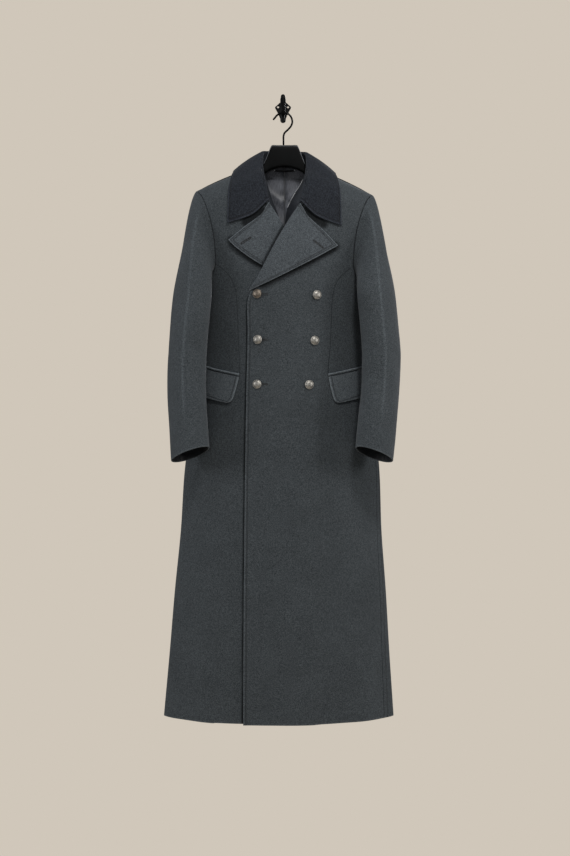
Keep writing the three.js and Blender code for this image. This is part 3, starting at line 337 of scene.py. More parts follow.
def mesh_object(name, points, quads, material, uv, values, parts):
    """A smooth mesh of four-sided faces from arrays in millimetres; the signed volume decides
    which way round the faces go, so that they point out."""
    used, quads = np.unique(quads, return_inverse=True)
    points, quads = points[used], quads.reshape(-1, 4)
    a, b, c, d = (points[quads[:, k]] for k in range(4))
    volume = np.einsum("ij,ij->i", a, np.cross(b, c) + np.cross(c, d)).sum()
    if volume < 0:
        quads = quads[:, ::-1]
    mesh = bpy.data.meshes.new(name)
    mesh.vertices.add(len(points))
    mesh.vertices.foreach_set("co", (points * MM).astype(np.float32).ravel())
    mesh.loops.add(quads.size)
    mesh.loops.foreach_set("vertex_index", quads.astype(np.int32).ravel())
    mesh.polygons.add(len(quads))
    mesh.polygons.foreach_set("loop_start", np.arange(0, quads.size, 4, dtype=np.int32))
    mesh.update(calc_edges=True)
    mesh.polygons.foreach_set("use_smooth", np.ones(len(quads), dtype=bool))
    layer = mesh.uv_layers.new(name="cloth")
    layer.data.foreach_set("uv", (uv[used][quads.ravel()] * MM).astype(np.float32).ravel())
    for key, value in values.items():
        field = mesh.attributes.new(key, "FLOAT", "POINT")
        field.data.foreach_set("value", (value[used] * MM).astype(np.float32))
    for entry in material:
        mesh.materials.append(entry)
    if len(material) > 1:
        mesh.polygons.foreach_set("material_index", parts.astype(np.int32))
    mesh.validate()
    piece = bpy.data.objects.new(name, mesh)
    scene.collection.objects.link(piece)
    return piece


def shell_faces(rows, columns, keep, inner_part):
    """Two sheets of squares over the kept cells, joined by a strip wherever a kept cell has no
    kept neighbour, and the number of the finish of each face."""
    top = np.arange((rows + 1) * (columns + 1)).reshape(rows + 1, columns + 1)
    low = top + top.size
    (ta, tb, tc, td), (la, lb, lc, ld) = (
        (ids[:-1, :-1], ids[1:, :-1], ids[1:, 1:], ids[:-1, 1:]) for ids in (top, low))
    beside = np.pad(keep, 1)
    open_up, open_down = keep & ~beside[:-2, 1:-1], keep & ~beside[2:, 1:-1]
    open_left, open_right = keep & ~beside[1:-1, :-2], keep & ~beside[1:-1, 2:]
    groups = [np.stack([corner[picked] for corner in corners], -1) for corners, picked in (
        ((ta, tb, tc, td), keep), ((la, ld, lc, lb), keep), ((ta, td, ld, la), open_up),
        ((tc, tb, lb, lc), open_down), ((tb, ta, la, lb), open_left), ((td, tc, lc, ld), open_right))]
    parts = [np.zeros(len(group), int) for group in groups]
    parts[1] = inner_part[keep]
    return np.concatenate(groups), np.concatenate(parts)


one_square = np.ones((1, 1), bool)
print("a shell of one square has", len(shell_faces(1, 1, one_square, one_square * 0)[0]), "faces")

# %% Sewn pieces
EDGE_FREE, EDGE_SEAM, EDGE_HIDDEN_SEAM, EDGE_PLAIN = 1.0, 0.6, 0.5, 0.0  # how much of the edge is rounded
NO_ROWS = (0, 0, 0, 0)
FAR = 100.0
# mm added to a pressed seam's distance, so the painted shade there is lighter than in a gap
SEAM_SOFT = 0.9  # a pressed seam is never as dark as a gap
THINNEST = 0.1  # share of the thickness left at a rounded edge
CUT_LARGER = 1.01  # cloth is cut one hundredth larger than it hangs


def distance_fields(gaps, edges, stitch, second, ridge_highlight, valley):
    """What the wool's finish reads at each point: signed distance to two rows of stitching on the
    outside, distance to the nearest free edge or ridge, where the pale line is a painted highlight, at
    free edges partly rubbed wear, and distance to the nearest seam or line where painted shade darkens
    the colour."""
    fields = {}
    nowhere = np.full(gaps[0].shape, FAR)
    for key, offsets in (("row_a", stitch), ("row_b", second)):
        signed = [gap - offset for gap, offset in zip(gaps, offsets) if offset > 0]
        fields[key] = (np.minimum.reduce(signed) if signed else nowhere, nowhere)
    # edge: the pale line, a painted highlight, at free edges partly rubbed wear; seam: painted shade at seams
    # and along each valley
    lines = (("edge", EDGE_FREE, 0, ridge_highlight), ("seam", EDGE_SEAM, SEAM_SOFT, valley))
    for key, kind_of_edge, softer, placed in lines:
        near = [gap for gap, kind in zip(gaps, edges) if kind == kind_of_edge]
        field = np.minimum.reduce(near) + softer if near else nowhere
        field = field if placed is None else np.minimum(field, placed)
        fields[key] = (field, nowhere if valley is None or key == "edge" else field)
    return {key: np.concatenate([outside.ravel(), inside.ravel()])
            for key, (outside, inside) in fields.items()}


def sewn(name, outer, inner, edges, material, keep=None, stitch=NO_ROWS, second=NO_ROWS, inside=None,
         ridge_highlight=None, valley=None):
    """A closed shell. Near an edge the half thickness follows a quarter circle. stitch and second
    give each side's distance to its rows of stitching, in millimetres, with 0 for none. The distance
    from a pressed ridge pales the colour as at an edge, a painted highlight; valley, the distance
    from a line where two layers meet, darkens it as at a seam, a painted shade."""
    rows, columns = outer.shape[0] - 1, outer.shape[1] - 1
    keep = np.ones((rows, columns), bool) if keep is None else keep
    middle, half = (outer + inner) / 2, (outer - inner) / 2
    radius = np.maximum(0.3, np.linalg.norm(half, axis=-1))
    gaps = [np.abs(g) for g in edge_distances(middle, keep)]
    full = np.ones(middle.shape[:2])
    for gap, kind in zip(gaps, edges):
        inset = 1 - np.minimum(gap / radius, 1)
        full = np.minimum(full, 1 - kind * (1 - np.sqrt(np.maximum(0, 1 - inset ** 2))))
    full = np.maximum(full, THINNEST)[..., None]
    layers = np.concatenate([(middle + half * full).reshape(-1, 3), (middle - half * full).reshape(-1, 3)])
    inner_part = np.zeros((rows, columns), int) if inside is None else inside(gaps)
    faces, parts = shell_faces(rows, columns, keep, inner_part)
    flat = np.stack([lengths(middle, 1), lengths(middle, 0)], -1).reshape(-1, 2)
    values = distance_fields(gaps, edges, stitch, second, ridge_highlight, valley)
    piece = mesh_object(name, layers, faces, material, np.concatenate([flat, flat]), values, parts)
    cell = np.cross(middle[1:, 1:] - middle[:-1, :-1], middle[1:, :-1] - middle[:-1, 1:])
    area = float(np.linalg.norm(cell, axis=-1)[keep].sum()) / 2 * MM * MM
    wide = float((gaps[0] + gaps[1])[:, 0].max()) if keep.all() else float(lengths(middle, 1).max())
    long = float(lengths(middle, 0).max())
    print(f"{name}: {wide:.0f} x {long:.0f} mm of cloth, {area:.3f} square metres,", len(faces), "faces")
    return piece, (wide * MM, long * MM, area)


def flat_extent(points):
    """Width and length of a nearly flat piece, along its own two main directions."""
    spread = points.reshape(-1, 3) - points.reshape(-1, 3).mean(0)
    reach = np.ptp(spread @ np.linalg.svd(spread, full_matrices=False)[2].T, axis=0) * MM
    return float(reach[1]), float(reach[0])


def dress(made, node, extent=None):
    """A cloth piece stands for its CAD node and rides on the one body. Its flat size, cut one
    hundredth larger, is worked out but not used.
    """
    piece, (wide, long, area) = made
    wide, long = extent or (wide, long)
    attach(piece, "root")
    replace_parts(piece, node)
    wide, long = round(wide * CUT_LARGER, 3), round(long * CUT_LARGER, 3)
    return piece


print("a free edge rounds over within half the wall,", WOOL / 2, "mm")

# %% [markdown]
# ## Finishes
# Every finish is worked out from the real stuff. Colours are the sRGB values that the eye sees,
# turned to linear light by one function. One helper adds a node, sets it and links it. Patterns
# read Object coordinates, which are metres here, so a scale of 500 repeats every 2 mm.

# %% Colour and node helpers


def srgb(hex_code):
    """Linear RGBA from an sRGB hex: c / 12.92 in the shadows, ((c + 0.055) / 1.055)^2.4 above."""
    channels = [int(hex_code[i:i + 2], 16) / 255 for i in (1, 3, 5)]
    return [c / 12.92 if c <= 0.04045 else ((c + 0.055) / 1.055) ** 2.4 for c in channels] + [1.0]


def add_node(tree, kind, inputs=None, **settings):
    """Adds one node. A socket given as an input is linked, any other value is set."""
    new = tree.nodes.new(kind)
    for key, value in settings.items():
        setattr(new, key, value)
    for key, value in (inputs or {}).items():
        if isinstance(value, bpy.types.NodeSocket):
            tree.links.new(value, new.inputs[key])
        else:
            new.inputs[key].default_value = value
    return new


def finish(name, base, roughness, **sockets):
    """A material with its Principled shader; what is the same all over is set on its sockets."""
    material = bpy.data.materials.new(name)
    material.use_nodes = True
    tree = material.node_tree
    tree.nodes.clear()
    shader = add_node(tree, "ShaderNodeBsdfPrincipled",
                      {"Base Color": srgb(base), "Roughness": roughness, **sockets})
    out = add_node(tree, "ShaderNodeOutputMaterial", {"Surface": shader.outputs[0]})
    out.location = (300, 0)
    return material, tree, shader


print("middle grey in linear light:", [round(c, 3) for c in srgb("#808080")])

# %% [markdown]
# ## Milled coat wool
# Greatcoat cloth is woven, then milled until the fibres mat, so no weave shows. The eye sees a
# heather of dark and pale fibres about two millimetres across, a soft nap that lifts the light at
# Rows of machine stitching pull a narrow groove into it, darkened by painted shade. Painted shade
# also darkens seams and the lines where two layers meet, and the pale line along free edges and
# pressed ridges is a painted highlight, at the edges partly rubbed wear.

# %% Wool
# how far, in mm, from stitching its groove's painted shade is gone, from a seam its painted shade,
# from an edge the pale line: a painted highlight, partly rubbed wear
GROOVE_REACH, SEAM_REACH, EDGE_WEAR_AND_HIGHLIGHT_REACH = 2.4, 2.8, 4.6


def milled_wool(name, dark, pale, nap, fibre_mm=1.9, edge_wear_and_highlight=0.3):
    """Heather of two fibre colours, slow fading, fine nap as bump, grooves along the stitching with
    painted shade in them, painted shade at seams and where layers meet, and a paler line where an edge
    is turned: a painted highlight, partly rubbed wear."""
    material, tree, shader = finish(name, pale, 0.92, **{
        "Specular IOR Level": 0.18, "Sheen Weight": nap, "Sheen Roughness": 0.45,
        "Sheen Tint": srgb("#b9bdc2")})
    place = add_node(tree, "ShaderNodeTexCoord").outputs["Object"]
    fibres = add_node(tree, "ShaderNodeTexNoise", {
        "Vector": place, "Scale": 1000 / fibre_mm, "Detail": 3.0, "Roughness": 0.65})
    flecks = add_node(tree, "ShaderNodeTexNoise",
                      {"Vector": place, "Scale": 210.0, "Detail": 2.0, "Roughness": 0.5})
    slow = add_node(tree, "ShaderNodeTexNoise",
                    {"Vector": place, "Scale": 13.0, "Detail": 2.0, "Roughness": 0.55})
    heather = add_node(tree, "ShaderNodeMapRange", {
        "Value": fibres.outputs["Fac"], "From Min": 0.36, "From Max": 0.66})
    blotch = add_node(tree, "ShaderNodeMapRange", {
        "Value": flecks.outputs["Fac"], "From Min": 0.35, "From Max": 0.65, "To Min": -0.10, "To Max": 0.10})
    both = add_node(tree, "ShaderNodeMath", {0: heather.outputs[0], 1: blotch.outputs[0]}, operation="ADD",
                    use_clamp=True)
    colour = add_node(tree, "ShaderNodeMix", {"Factor": both.outputs[0], 6: srgb(dark), 7: srgb(pale)},
                      data_type="RGBA")
    fade = add_node(tree, "ShaderNodeMapRange", {
        "Value": slow.outputs["Fac"], "From Min": 0.3, "From Max": 0.7, "To Min": 0.93, "To Max": 1.07})
    rows = [add_node(tree, "ShaderNodeAttribute", attribute_name=key)
            for key in ("row_a", "row_b", "seam", "edge")]
    off_a, off_b = (add_node(tree, "ShaderNodeMath", {0: row.outputs["Fac"]}, operation="ABSOLUTE")
                    for row in rows[:2])
    nearest = add_node(tree, "ShaderNodeMath", {0: off_a.outputs[0], 1: off_b.outputs[0]},
                       operation="MINIMUM")
    # each is 1 where its distance is 0 and falls smoothly to 0 at its reach
    groove, seam, edge = (add_node(tree, "ShaderNodeMapRange", {
        "Value": distance, "From Min": 0.0, "From Max": reach * MM, "To Min": 1.0, "To Max": 0.0},
        interpolation_type="SMOOTHSTEP") for distance, reach in (
            (nearest.outputs[0], GROOVE_REACH), (rows[2].outputs["Fac"], SEAM_REACH),
            (rows[3].outputs["Fac"], EDGE_WEAR_AND_HIGHLIGHT_REACH)))
    # Painted shade darkens the colour in stitch grooves, at seams and along valleys; the edge line pales it
    # as a painted highlight, at free edges partly rubbed wear.
    lightness = fade.outputs[0]
    for near, strength in ((groove, -0.5), (seam, -0.82), (edge, edge_wear_and_highlight)):
        share = add_node(tree, "ShaderNodeMath", {0: near.outputs[0], 1: strength, 2: 1.0},
                         operation="MULTIPLY_ADD")
        lightness = add_node(tree, "ShaderNodeMath", {0: lightness, 1: share.outputs[0]},
                             operation="MULTIPLY").outputs[0]
    tone = add_node(tree, "ShaderNodeVectorMath", {0: colour.outputs[2], "Scale": lightness},
                    operation="SCALE")
    tree.links.new(tone.outputs[0], shader.inputs["Base Color"])
    nap_hairs = add_node(tree, "ShaderNodeTexNoise",
                         {"Vector": place, "Scale": 900.0, "Detail": 2.0, "Roughness": 0.7})
    lumps = add_node(tree, "ShaderNodeMath", {0: nap_hairs.outputs["Fac"], 1: 0.22}, operation="MULTIPLY")
    soft = add_node(tree, "ShaderNodeMath", {0: fibres.outputs["Fac"], 1: 0.34, 2: lumps.outputs[0]},
                    operation="MULTIPLY_ADD")
    high = add_node(tree, "ShaderNodeMath", {0: groove.outputs[0], 1: -0.75, 2: soft.outputs[0]},
                    operation="MULTIPLY_ADD")
    bump = add_node(tree, "ShaderNodeBump", {"Height": high.outputs[0], "Strength": 0.8, "Distance": 0.001})
    tree.links.new(bump.outputs[0], shader.inputs["Normal"])
    return material


# The last number sets how much each wool pales along its free edges: a painted highlight, partly rubbed wear.
coat_wool = milled_wool("milled grey melton wool", "#34383b", "#5a6064", 0.25, edge_wear_and_highlight=0.6)
# The lapel and flap wools are paler copies of the coat wool: painted light where those parts catch more of
# it.
painted_light_lapel_wool = milled_wool("grey melton wool paled as painted light on the lapels", "#3c4145", "#666c71", 0.3, edge_wear_and_highlight=0.9)
painted_light_flap_wool = milled_wool("grey melton wool paled as painted light on the flaps", "#464b4f", "#737a7f", 0.3, edge_wear_and_highlight=0.7)
collar_wool = milled_wool("brushed charcoal wool", "#1c1e23", "#363a41", 0.2, 2.4, edge_wear_and_highlight=1.1)
print("wool finishes:", coat_wool.name, "and", collar_wool.name)

# %% [markdown]
# ## Satin lining, thread, metal and black plastic
# Satin's long floats lie one way, so its gloss is soft and streaked along the warp. The buttons
# are pressed metal with an aged nickel face and dark left in the pebbled ground. The hanger is
# injection-moulded plastic with a fine spark-eroded grain, and the hook is black enamelled iron.

# %% Satin


def satin_lining(name, dark, pale, shine):
    """Fine streaks along the warp, slow shading where the cloth was handled, and painted shade at seams."""
    material, tree, shader = finish(name, pale, 0.46, **{
        "Specular IOR Level": shine, "Sheen Weight": 0.12, "Sheen Roughness": 0.35})
    place = add_node(tree, "ShaderNodeTexCoord").outputs["Object"]
    warp = add_node(tree, "ShaderNodeMapping", {"Vector": place, "Scale": (1.0, 1.0, 0.06)})
    streaks = add_node(tree, "ShaderNodeTexNoise", {"Vector": warp.outputs[0], "Scale": 900.0, "Detail": 2.0})
    slow = add_node(tree, "ShaderNodeTexNoise", {"Vector": place, "Scale": 22.0, "Detail": 2.0})
    blend = add_node(tree, "ShaderNodeMath", {0: streaks.outputs["Fac"], 1: slow.outputs["Fac"]},
                     operation="ADD")
    tone = add_node(tree, "ShaderNodeMapRange",
                    {"Value": blend.outputs[0], "From Min": 0.75, "From Max": 1.25})
    colour = add_node(tree, "ShaderNodeMix", {"Factor": tone.outputs[0], 6: srgb(dark), 7: srgb(pale)},
                      data_type="RGBA")
    # painted shade: within 4 mm of a seam the colour falls to 0.3 of itself
    seam = add_node(tree, "ShaderNodeMapRange", {
        "Value": add_node(tree, "ShaderNodeAttribute", attribute_name="seam").outputs["Fac"],
        "From Min": 0.0, "From Max": 0.004, "To Min": 0.3, "To Max": 1.0}, interpolation_type="SMOOTHSTEP")
    deeper = add_node(tree, "ShaderNodeVectorMath", {0: colour.outputs[2], "Scale": seam.outputs[0]},
                      operation="SCALE")
    tree.links.new(deeper.outputs[0], shader.inputs["Base Color"])
    rough = add_node(tree, "ShaderNodeMapRange",
                     {"Value": slow.outputs["Fac"], "To Min": 0.38, "To Max": 0.56})
    tree.links.new(rough.outputs[0], shader.inputs["Roughness"])
    bump = add_node(tree, "ShaderNodeBump",
                    {"Height": streaks.outputs["Fac"], "Strength": 0.3, "Distance": 0.0003})
    tree.links.new(bump.outputs[0], shader.inputs["Normal"])
    return material


lining_satin = satin_lining("grey satin lining", "#3f4148", "#767982", 0.5)
# A darker copy of the lining satin: painted shade in the fold of the front. The hanging loop uses it too.
darkened_satin = satin_lining("grey satin in the fold of the front", "#1f2126", "#3c3f45", 0.3)
sleeve_satin = satin_lining("dark sleeve satin", "#17191c", "#2e3135", 0.4)
print("satins:", lining_satin.name, "and", sleeve_satin.name)

# %% Metal


def aged_metal(name, dark, pale, grain_mm, pit):
    """Pebbled ground: small round cells, dark where they are low, worn bright where they stand."""
    material, tree, shader = finish(name, pale, 0.36, Metallic=1.0)
    place = add_node(tree, "ShaderNodeTexCoord").outputs["Object"]
    pebbles = add_node(tree, "ShaderNodeTexVoronoi", {"Vector": place, "Scale": 1000 / grain_mm},
                       feature="SMOOTH_F1")
    dull = add_node(tree, "ShaderNodeTexNoise",
                    {"Vector": place, "Scale": 420.0, "Detail": 4.0, "Roughness": 0.6})
    low = add_node(tree, "ShaderNodeMath", {0: pebbles.outputs["Distance"], 1: dull.outputs["Fac"]},
                   operation="MULTIPLY")
    tone = add_node(tree, "ShaderNodeMapRange", {
        "Value": low.outputs[0], "From Min": 0.08, "From Max": 0.42, "To Min": 1.0, "To Max": 0.0})
    colour = add_node(tree, "ShaderNodeMix", {"Factor": tone.outputs[0], 6: srgb(dark), 7: srgb(pale)},
                      data_type="RGBA")
    tree.links.new(colour.outputs[2], shader.inputs["Base Color"])
    rough = add_node(tree, "ShaderNodeMapRange",
                     {"Value": dull.outputs["Fac"], "To Min": 0.36, "To Max": 0.6})
    tree.links.new(rough.outputs[0], shader.inputs["Roughness"])
    bump = add_node(tree, "ShaderNodeBump", {
        "Height": pebbles.outputs["Distance"], "Strength": 0.6, "Distance": pit * MM}, invert=True)
    tree.links.new(bump.outputs[0], shader.inputs["Normal"])
    return material


button_metal = aged_metal("aged nickel on pressed metal", "#77736c", "#cfcbc3", 1.1, 0.07)
worn_metal = aged_metal("browned nickel on pressed metal", "#5a5048", "#a3978a", 1.1, 0.07)
print("metals:", button_metal.name, "and", worn_metal.name)

# %% Black plastic and iron


def black_coating(name, dark, pale, roughness, grain_mm, metallic=0.0):
    """A moulded or painted black: fine grain as bump, slightly uneven gloss and faint dust."""
    material, tree, shader = finish(name, dark, roughness, **{
        "Metallic": metallic, "Specular IOR Level": 0.09, "Coat Weight": 0.015, "Coat Roughness": 0.3})
    place = add_node(tree, "ShaderNodeTexCoord").outputs["Object"]
    grain = add_node(tree, "ShaderNodeTexNoise", {"Vector": place, "Scale": 1000 / grain_mm, "Detail": 3.0})
    slow = add_node(tree, "ShaderNodeTexNoise", {"Vector": place, "Scale": 40.0, "Detail": 3.0})
    dust = add_node(tree, "ShaderNodeMapRange",
                    {"Value": slow.outputs["Fac"], "From Min": 0.4, "From Max": 0.8})
    colour = add_node(tree, "ShaderNodeMix", {"Factor": dust.outputs[0], 6: srgb(dark), 7: srgb(pale)},
                      data_type="RGBA")
    tree.links.new(colour.outputs[2], shader.inputs["Base Color"])
    rough = add_node(tree, "ShaderNodeMapRange", {
        "Value": slow.outputs["Fac"], "To Min": roughness - 0.08, "To Max": roughness + 0.12})
    tree.links.new(rough.outputs[0], shader.inputs["Roughness"])
    bump = add_node(tree, "ShaderNodeBump",
                    {"Height": grain.outputs["Fac"], "Strength": 0.35, "Distance": 0.0002})
    tree.links.new(bump.outputs[0], shader.inputs["Normal"])
    return material


hanger_plastic = black_coating("moulded black plastic", "#040505", "#0a0b0c", 0.42, 0.6)
# A pale grey for dashes along the hanger's rim: a painted highlight.
painted_highlight_plastic = black_coating("painted highlight on the black plastic's rim", "#6c6f73", "#9da0a4", 0.42, 0.6)
enamelled_iron = black_coating("black enamelled iron", "#0b0b0c", "#191919", 0.34, 1.4, 0.15)
print("blacks:", hanger_plastic.name, "and", enamelled_iron.name)

# %% Thread


def twisted_thread(name, dark, pale):
    """Three-ply thread: slanted bands half a millimetre apart, drawn from the piece's own place."""
    material, tree, shader = finish(name, pale, 0.7, **{"Sheen Weight": 0.2})
    place = add_node(tree, "ShaderNodeTexCoord").outputs["Object"]
    ply = add_node(tree, "ShaderNodeTexWave", {"Vector": place, "Scale": 300.0, "Distortion": 1.5},
                   bands_direction="DIAGONAL")
    colour = add_node(tree, "ShaderNodeMix", {"Factor": ply.outputs["Fac"], 6: srgb(dark), 7: srgb(pale)},
                      data_type="RGBA")
    tree.links.new(colour.outputs[2], shader.inputs["Base Color"])
    bump = add_node(tree, "ShaderNodeBump",
                    {"Height": ply.outputs["Fac"], "Strength": 0.5, "Distance": 0.0002})
    tree.links.new(bump.outputs[0], shader.inputs["Normal"])
    return material


coat_thread = twisted_thread("grey sewing thread", "#2c2f32", "#565b60")
collar_thread = twisted_thread("charcoal sewing thread", "#17181b", "#34373c")
hole_thread = twisted_thread("dark buttonhole twist", "#1a1c1e", "#3a3d40")
piping_cord = twisted_thread("pale satin piping", "#b9bbbf", "#ecedef")
# Near-black dashes sunk in each buttonhole's slit: painted shade.
slit_dark = twisted_thread("shade of the slit", "#08090a", "#121314")
print("finishes:", len(bpy.data.materials))

# %% [markdown]
# ## The two fronts
# Each front is cut in one piece from the shoulder to the hem. Its inner edge runs down the neck,
# the lapel's roll line and the front edge; its outer edge down the armhole and the princess seam,
# and below the pocket the cloth goes on round to the side seam. The grid is straight between the
# two edges, in turns and heights, and the body's form gives it depth. The left front laps on top,
# so it is lifted by the layers under it. A keep mask leaves out the corner above the pocket.

# %% Edges of the front
FRONT_ROWS = [  # inner edge x and z, outer edge x and z
    (68, -153, 207, -216), (66.5, -160, 203.5, -219.5), (64, -172, 198.5, -226), (60, -190, 192, -235.5),
    (49, -222, 179.5, -265), (38.5, -253, 170, -298), (17, -287, 163.5, -335), (-1, -318, 160.7, -366),
    (-17, -348, 160, -392), (-39, -392, 138, -410), (-57.5, -430, 122, -430), (-73, -457, 114, -452),
    (-81, -482, 110.5, -475), (-82, -554, 107, -554), (-82.5, -650, 102, -650), (-82.5, -705, 106, -703),
    (-82.5, -770, 112, -768), (-82.5, -850, 119, -850), (-82, -950, 126, -950), (-81.5, -1060, 132, -1060),
    (-81, -1180, 138, -1180), (-80, -1310, 144, -1310), (-79, HEM_Z, 150, HEM_Z),
]
ARMHOLE_ROWS, POCKET_ROW, LAST_ROW = 8, 14, len(FRONT_ROWS) - 1
SIDE_BODY_Z = [-436, -450, -468, -492, -520, -565, -619]
SIDE_SKIRT_Z = [-619, -690, -762, -850, -950, -1060, -1180, -1310, HEM_Z]
UNDER_EDGE_X, UNDER_FRONT_SHORTER = -70, 3
LIFTS = [  # height, lift, full out to x, gone by x
    (-262, 0, 10, 60), (-312, 9.4, 12, 75), (-392, 9.4, 50, 112), (-430, 9.4, 66, 114),
    (-462, 9.4, 76, 111), (-530, 4.8, 78, 106), (-600, 4.8, 76, 101), (HEM_Z, 4.8, 76, 101),
]
# the armhole, as turns and heights: down the front from the tip, under the arm, up the back
ARMHOLE_SIDE = [(168, -414), (184, -429)]
ARMHOLE_BACK = [(193, -426), (183, -402), (178, -368), (177, -330), (180, -292), (186, -262),
                (194, -241), (200, -229), (204, -221), (TIP_X, TIP_Z)]
ARMHOLE = np.array(
    [(float(front_turn(r[2], r[3])), r[3]) for r in FRONT_ROWS[:ARMHOLE_ROWS + 1]]
    + [(float(front_turn(x, z)), z) for x, z in ARMHOLE_SIDE]
    + [(float(side_seam_turn(SIDE_BODY_Z[0])), SIDE_BODY_Z[0])]
    + [(2 - float(front_turn(x, z)), z) for x, z in ARMHOLE_BACK])
ARMHOLE_KEYS = walk(body(ARMHOLE[:, 0], ARMHOLE[:, 1]))
print(f"armhole {ARMHOLE_KEYS[-1]:.0f} mm round, marked at {len(ARMHOLE)} places")

# %% Curves of the front
CURL_HIGH, CURL_WIDE, CURL_FROM_Z, CURL_FULL_Z = 3.4, 9, -450, -500


def armhole(at):
    """Turn and height on the armhole at a fractional mark number."""
    return along(ARMHOLE, at, keys=ARMHOLE_KEYS)


def front_inner(at):
    """x and z of the front's inner edge at fractional rows."""
    return along([(r[0], r[1]) for r in FRONT_ROWS], at)


def front_outer(at):
    """Turn and height of the front's outer edge: the armhole, a corner, then the princess line."""
    princess = np.array([(r[2], r[3]) for r in FRONT_ROWS[ARMHOLE_ROWS:]])
    below = along(princess, np.clip(at - ARMHOLE_ROWS, 0, None))
    below = np.stack([front_turn(below[:, 0], below[:, 1]), below[:, 1]], -1)
    above = armhole(np.clip(at, 0, ARMHOLE_ROWS))
    return np.where((at < ARMHOLE_ROWS)[:, None], above, below)


def top_lift(turn, z):
    """How far the top front stands off the under front: full to one x, gone by another."""
    gone = ease(off_table(LIFTS, 2, z), off_table(LIFTS, 3, z), front_x(turn, z))
    return off_table(LIFTS, 1, z) * (1 - gone)


def top_edge_x(z):
    """Where the top front's free edge hangs at a height below the lapel."""
    return off_table([(row[1], row[0]) for row in FRONT_ROWS[10:]], 1, z)


def curled_lift(turn, z):
    """The top front's lift, with its free edge rolled out a little below the lapel."""
    from_edge = np.maximum(0, front_x(turn, z) - top_edge_x(z))
    return top_lift(turn, z) + CURL_HIGH * np.exp(-from_edge / CURL_WIDE) * ease(CURL_FROM_Z, CURL_FULL_Z, z)


def no_lift(turn, z):
    """Nought everywhere: the under front, the sides and the backs lie on the form itself."""
    return np.zeros(np.broadcast(turn, z).shape)


print("the top front's edge hangs at x", round(float(top_edge_x(np.array([-700.0]))[0]), 1), "mm")

# %% Grid of the front


def row_stations(first, last, step):
    """Fractional rows from first to last, evenly stepped down the front edge and close at ends."""
    marks = front_inner(np.arange(first, last + 1))
    walked = walk(marks)
    return first + np.interp(stations(walked[-1], step) * walked[-1], walked, np.arange(last - first + 1))


UPPER_ROWS = np.unique(np.concatenate([
    row_stations(0, ARMHOLE_ROWS, 8), row_stations(ARMHOLE_ROWS, POCKET_ROW, 8)]))
LOWER_ROWS = row_stations(POCKET_ROW, LAST_ROW, 11)
MAIN_COLUMNS, SKIRT_COLUMNS = stations(200, 6.5), stations(100, 6.5)


def front_grid(hem_rise, edge_x):
    """Turns and heights: straight from the inner to the outer edge, then on to the side seam."""
    rows = np.concatenate([UPPER_ROWS, LOWER_ROWS[1:]])
    inner = front_inner(rows)
    inner[:, 0] = np.maximum(edge_x, inner[:, 0])
    inner = np.stack([front_turn(inner[:, 0], inner[:, 1]), inner[:, 1]], -1)
    outer = front_outer(rows)
    seam_z = along(np.array(SIDE_SKIRT_Z, float)[:, None], np.clip(rows - POCKET_ROW, 0, None))[:, 0]
    side = np.stack([side_seam_turn(seam_z), seam_z], -1)
    main = mix(inner[:, None], outer[:, None], MAIN_COLUMNS[None, :, None])
    skirt = mix(outer[:, None], side[:, None], SKIRT_COLUMNS[None, 1:, None])
    grid = np.concatenate([main, skirt], 1)
    toward_side = np.minimum(1, np.arange(grid.shape[1]) / (len(MAIN_COLUMNS) - 1))
    grid[..., 1] += hem_rise * ease(LAST_ROW - 0.5, LAST_ROW, rows)[:, None] * (1 - toward_side) ** 0.5
    keep = np.ones((len(rows) - 1, grid.shape[1] - 1), bool)
    keep[:len(UPPER_ROWS) - 1, len(MAIN_COLUMNS) - 1:] = False
    return grid[..., 0], grid[..., 1], keep


print("each front has", len(UPPER_ROWS) + len(LOWER_ROWS) - 1, "rows of points")

# %% Fronts
EDGE_ROW = 6.5  # a row of stitches lies this far inside most edges
FACING_WIDE, HEM_FACING, TOP_FACING = 95, 45, 12
# Painted shade on the fronts, in mm from a line: full up to the first number, gone at the second; it lies
# below each lapel, in the notch under the collar's end and beside the top front's edge.
UNDER_LAPEL_PAINTED_SHADE, IN_NOTCH_PAINTED_SHADE = (2.5, 17), (5.5, 15)  # full dark up to, gone at
OVERLAP_PAINTED_SHADE, OVERLAP_GROWTH, OVERLAP_TOP_Z = 3.5, 0.5, -470


def facing_or_lining(gaps):
    """Inside the front: wool facing by the edge and at the hem, satin lining beyond it."""
    left, top, bottom = (gaps[side][:-1, :-1] for side in (0, 2, 3))
    return ((left > FACING_WIDE) & (bottom > HEM_FACING) & (top > TOP_FACING)).astype(int)


def body_panel(name, turn, z, lift, edges, keep=None, stitch=NO_ROWS, inside=None, valley=None):
    """A panel of the body between two depths of the same form."""
    up = lift(turn, z)
    return sewn(name, body(turn, z, -up), body(turn, z, WOOL - up), edges, [coat_wool, lining_satin],
                keep, stitch, inside=inside, valley=valley)


LAPEL_APEX, LAPEL_NOTCH, LAPEL_BREAK = (36.6, -255.5), (50, -280), (-74, -457)
LAPEL_POINT = {"top": (118, -349), "under": (123.5, -341)}
LAPEL_BEND = {"top": (15, -411), "under": (49, -400)}
NOTCH_SHADE = [(48, -273), (72, -288), (90, -299)]


def lapel_lower_edge(kind, share):
    """The lapel's lower edge: a parabola from the break to the point, through its bend."""
    start, point, bend = (np.array(p, float) for p in (LAPEL_BREAK, LAPEL_POINT[kind], LAPEL_BEND[kind]))
    w = np.asarray(share)[:, None]
    return start * (1 - w) ** 2 + 2 * (2 * bend - (start + point) / 2) * w * (1 - w) + point * w * w


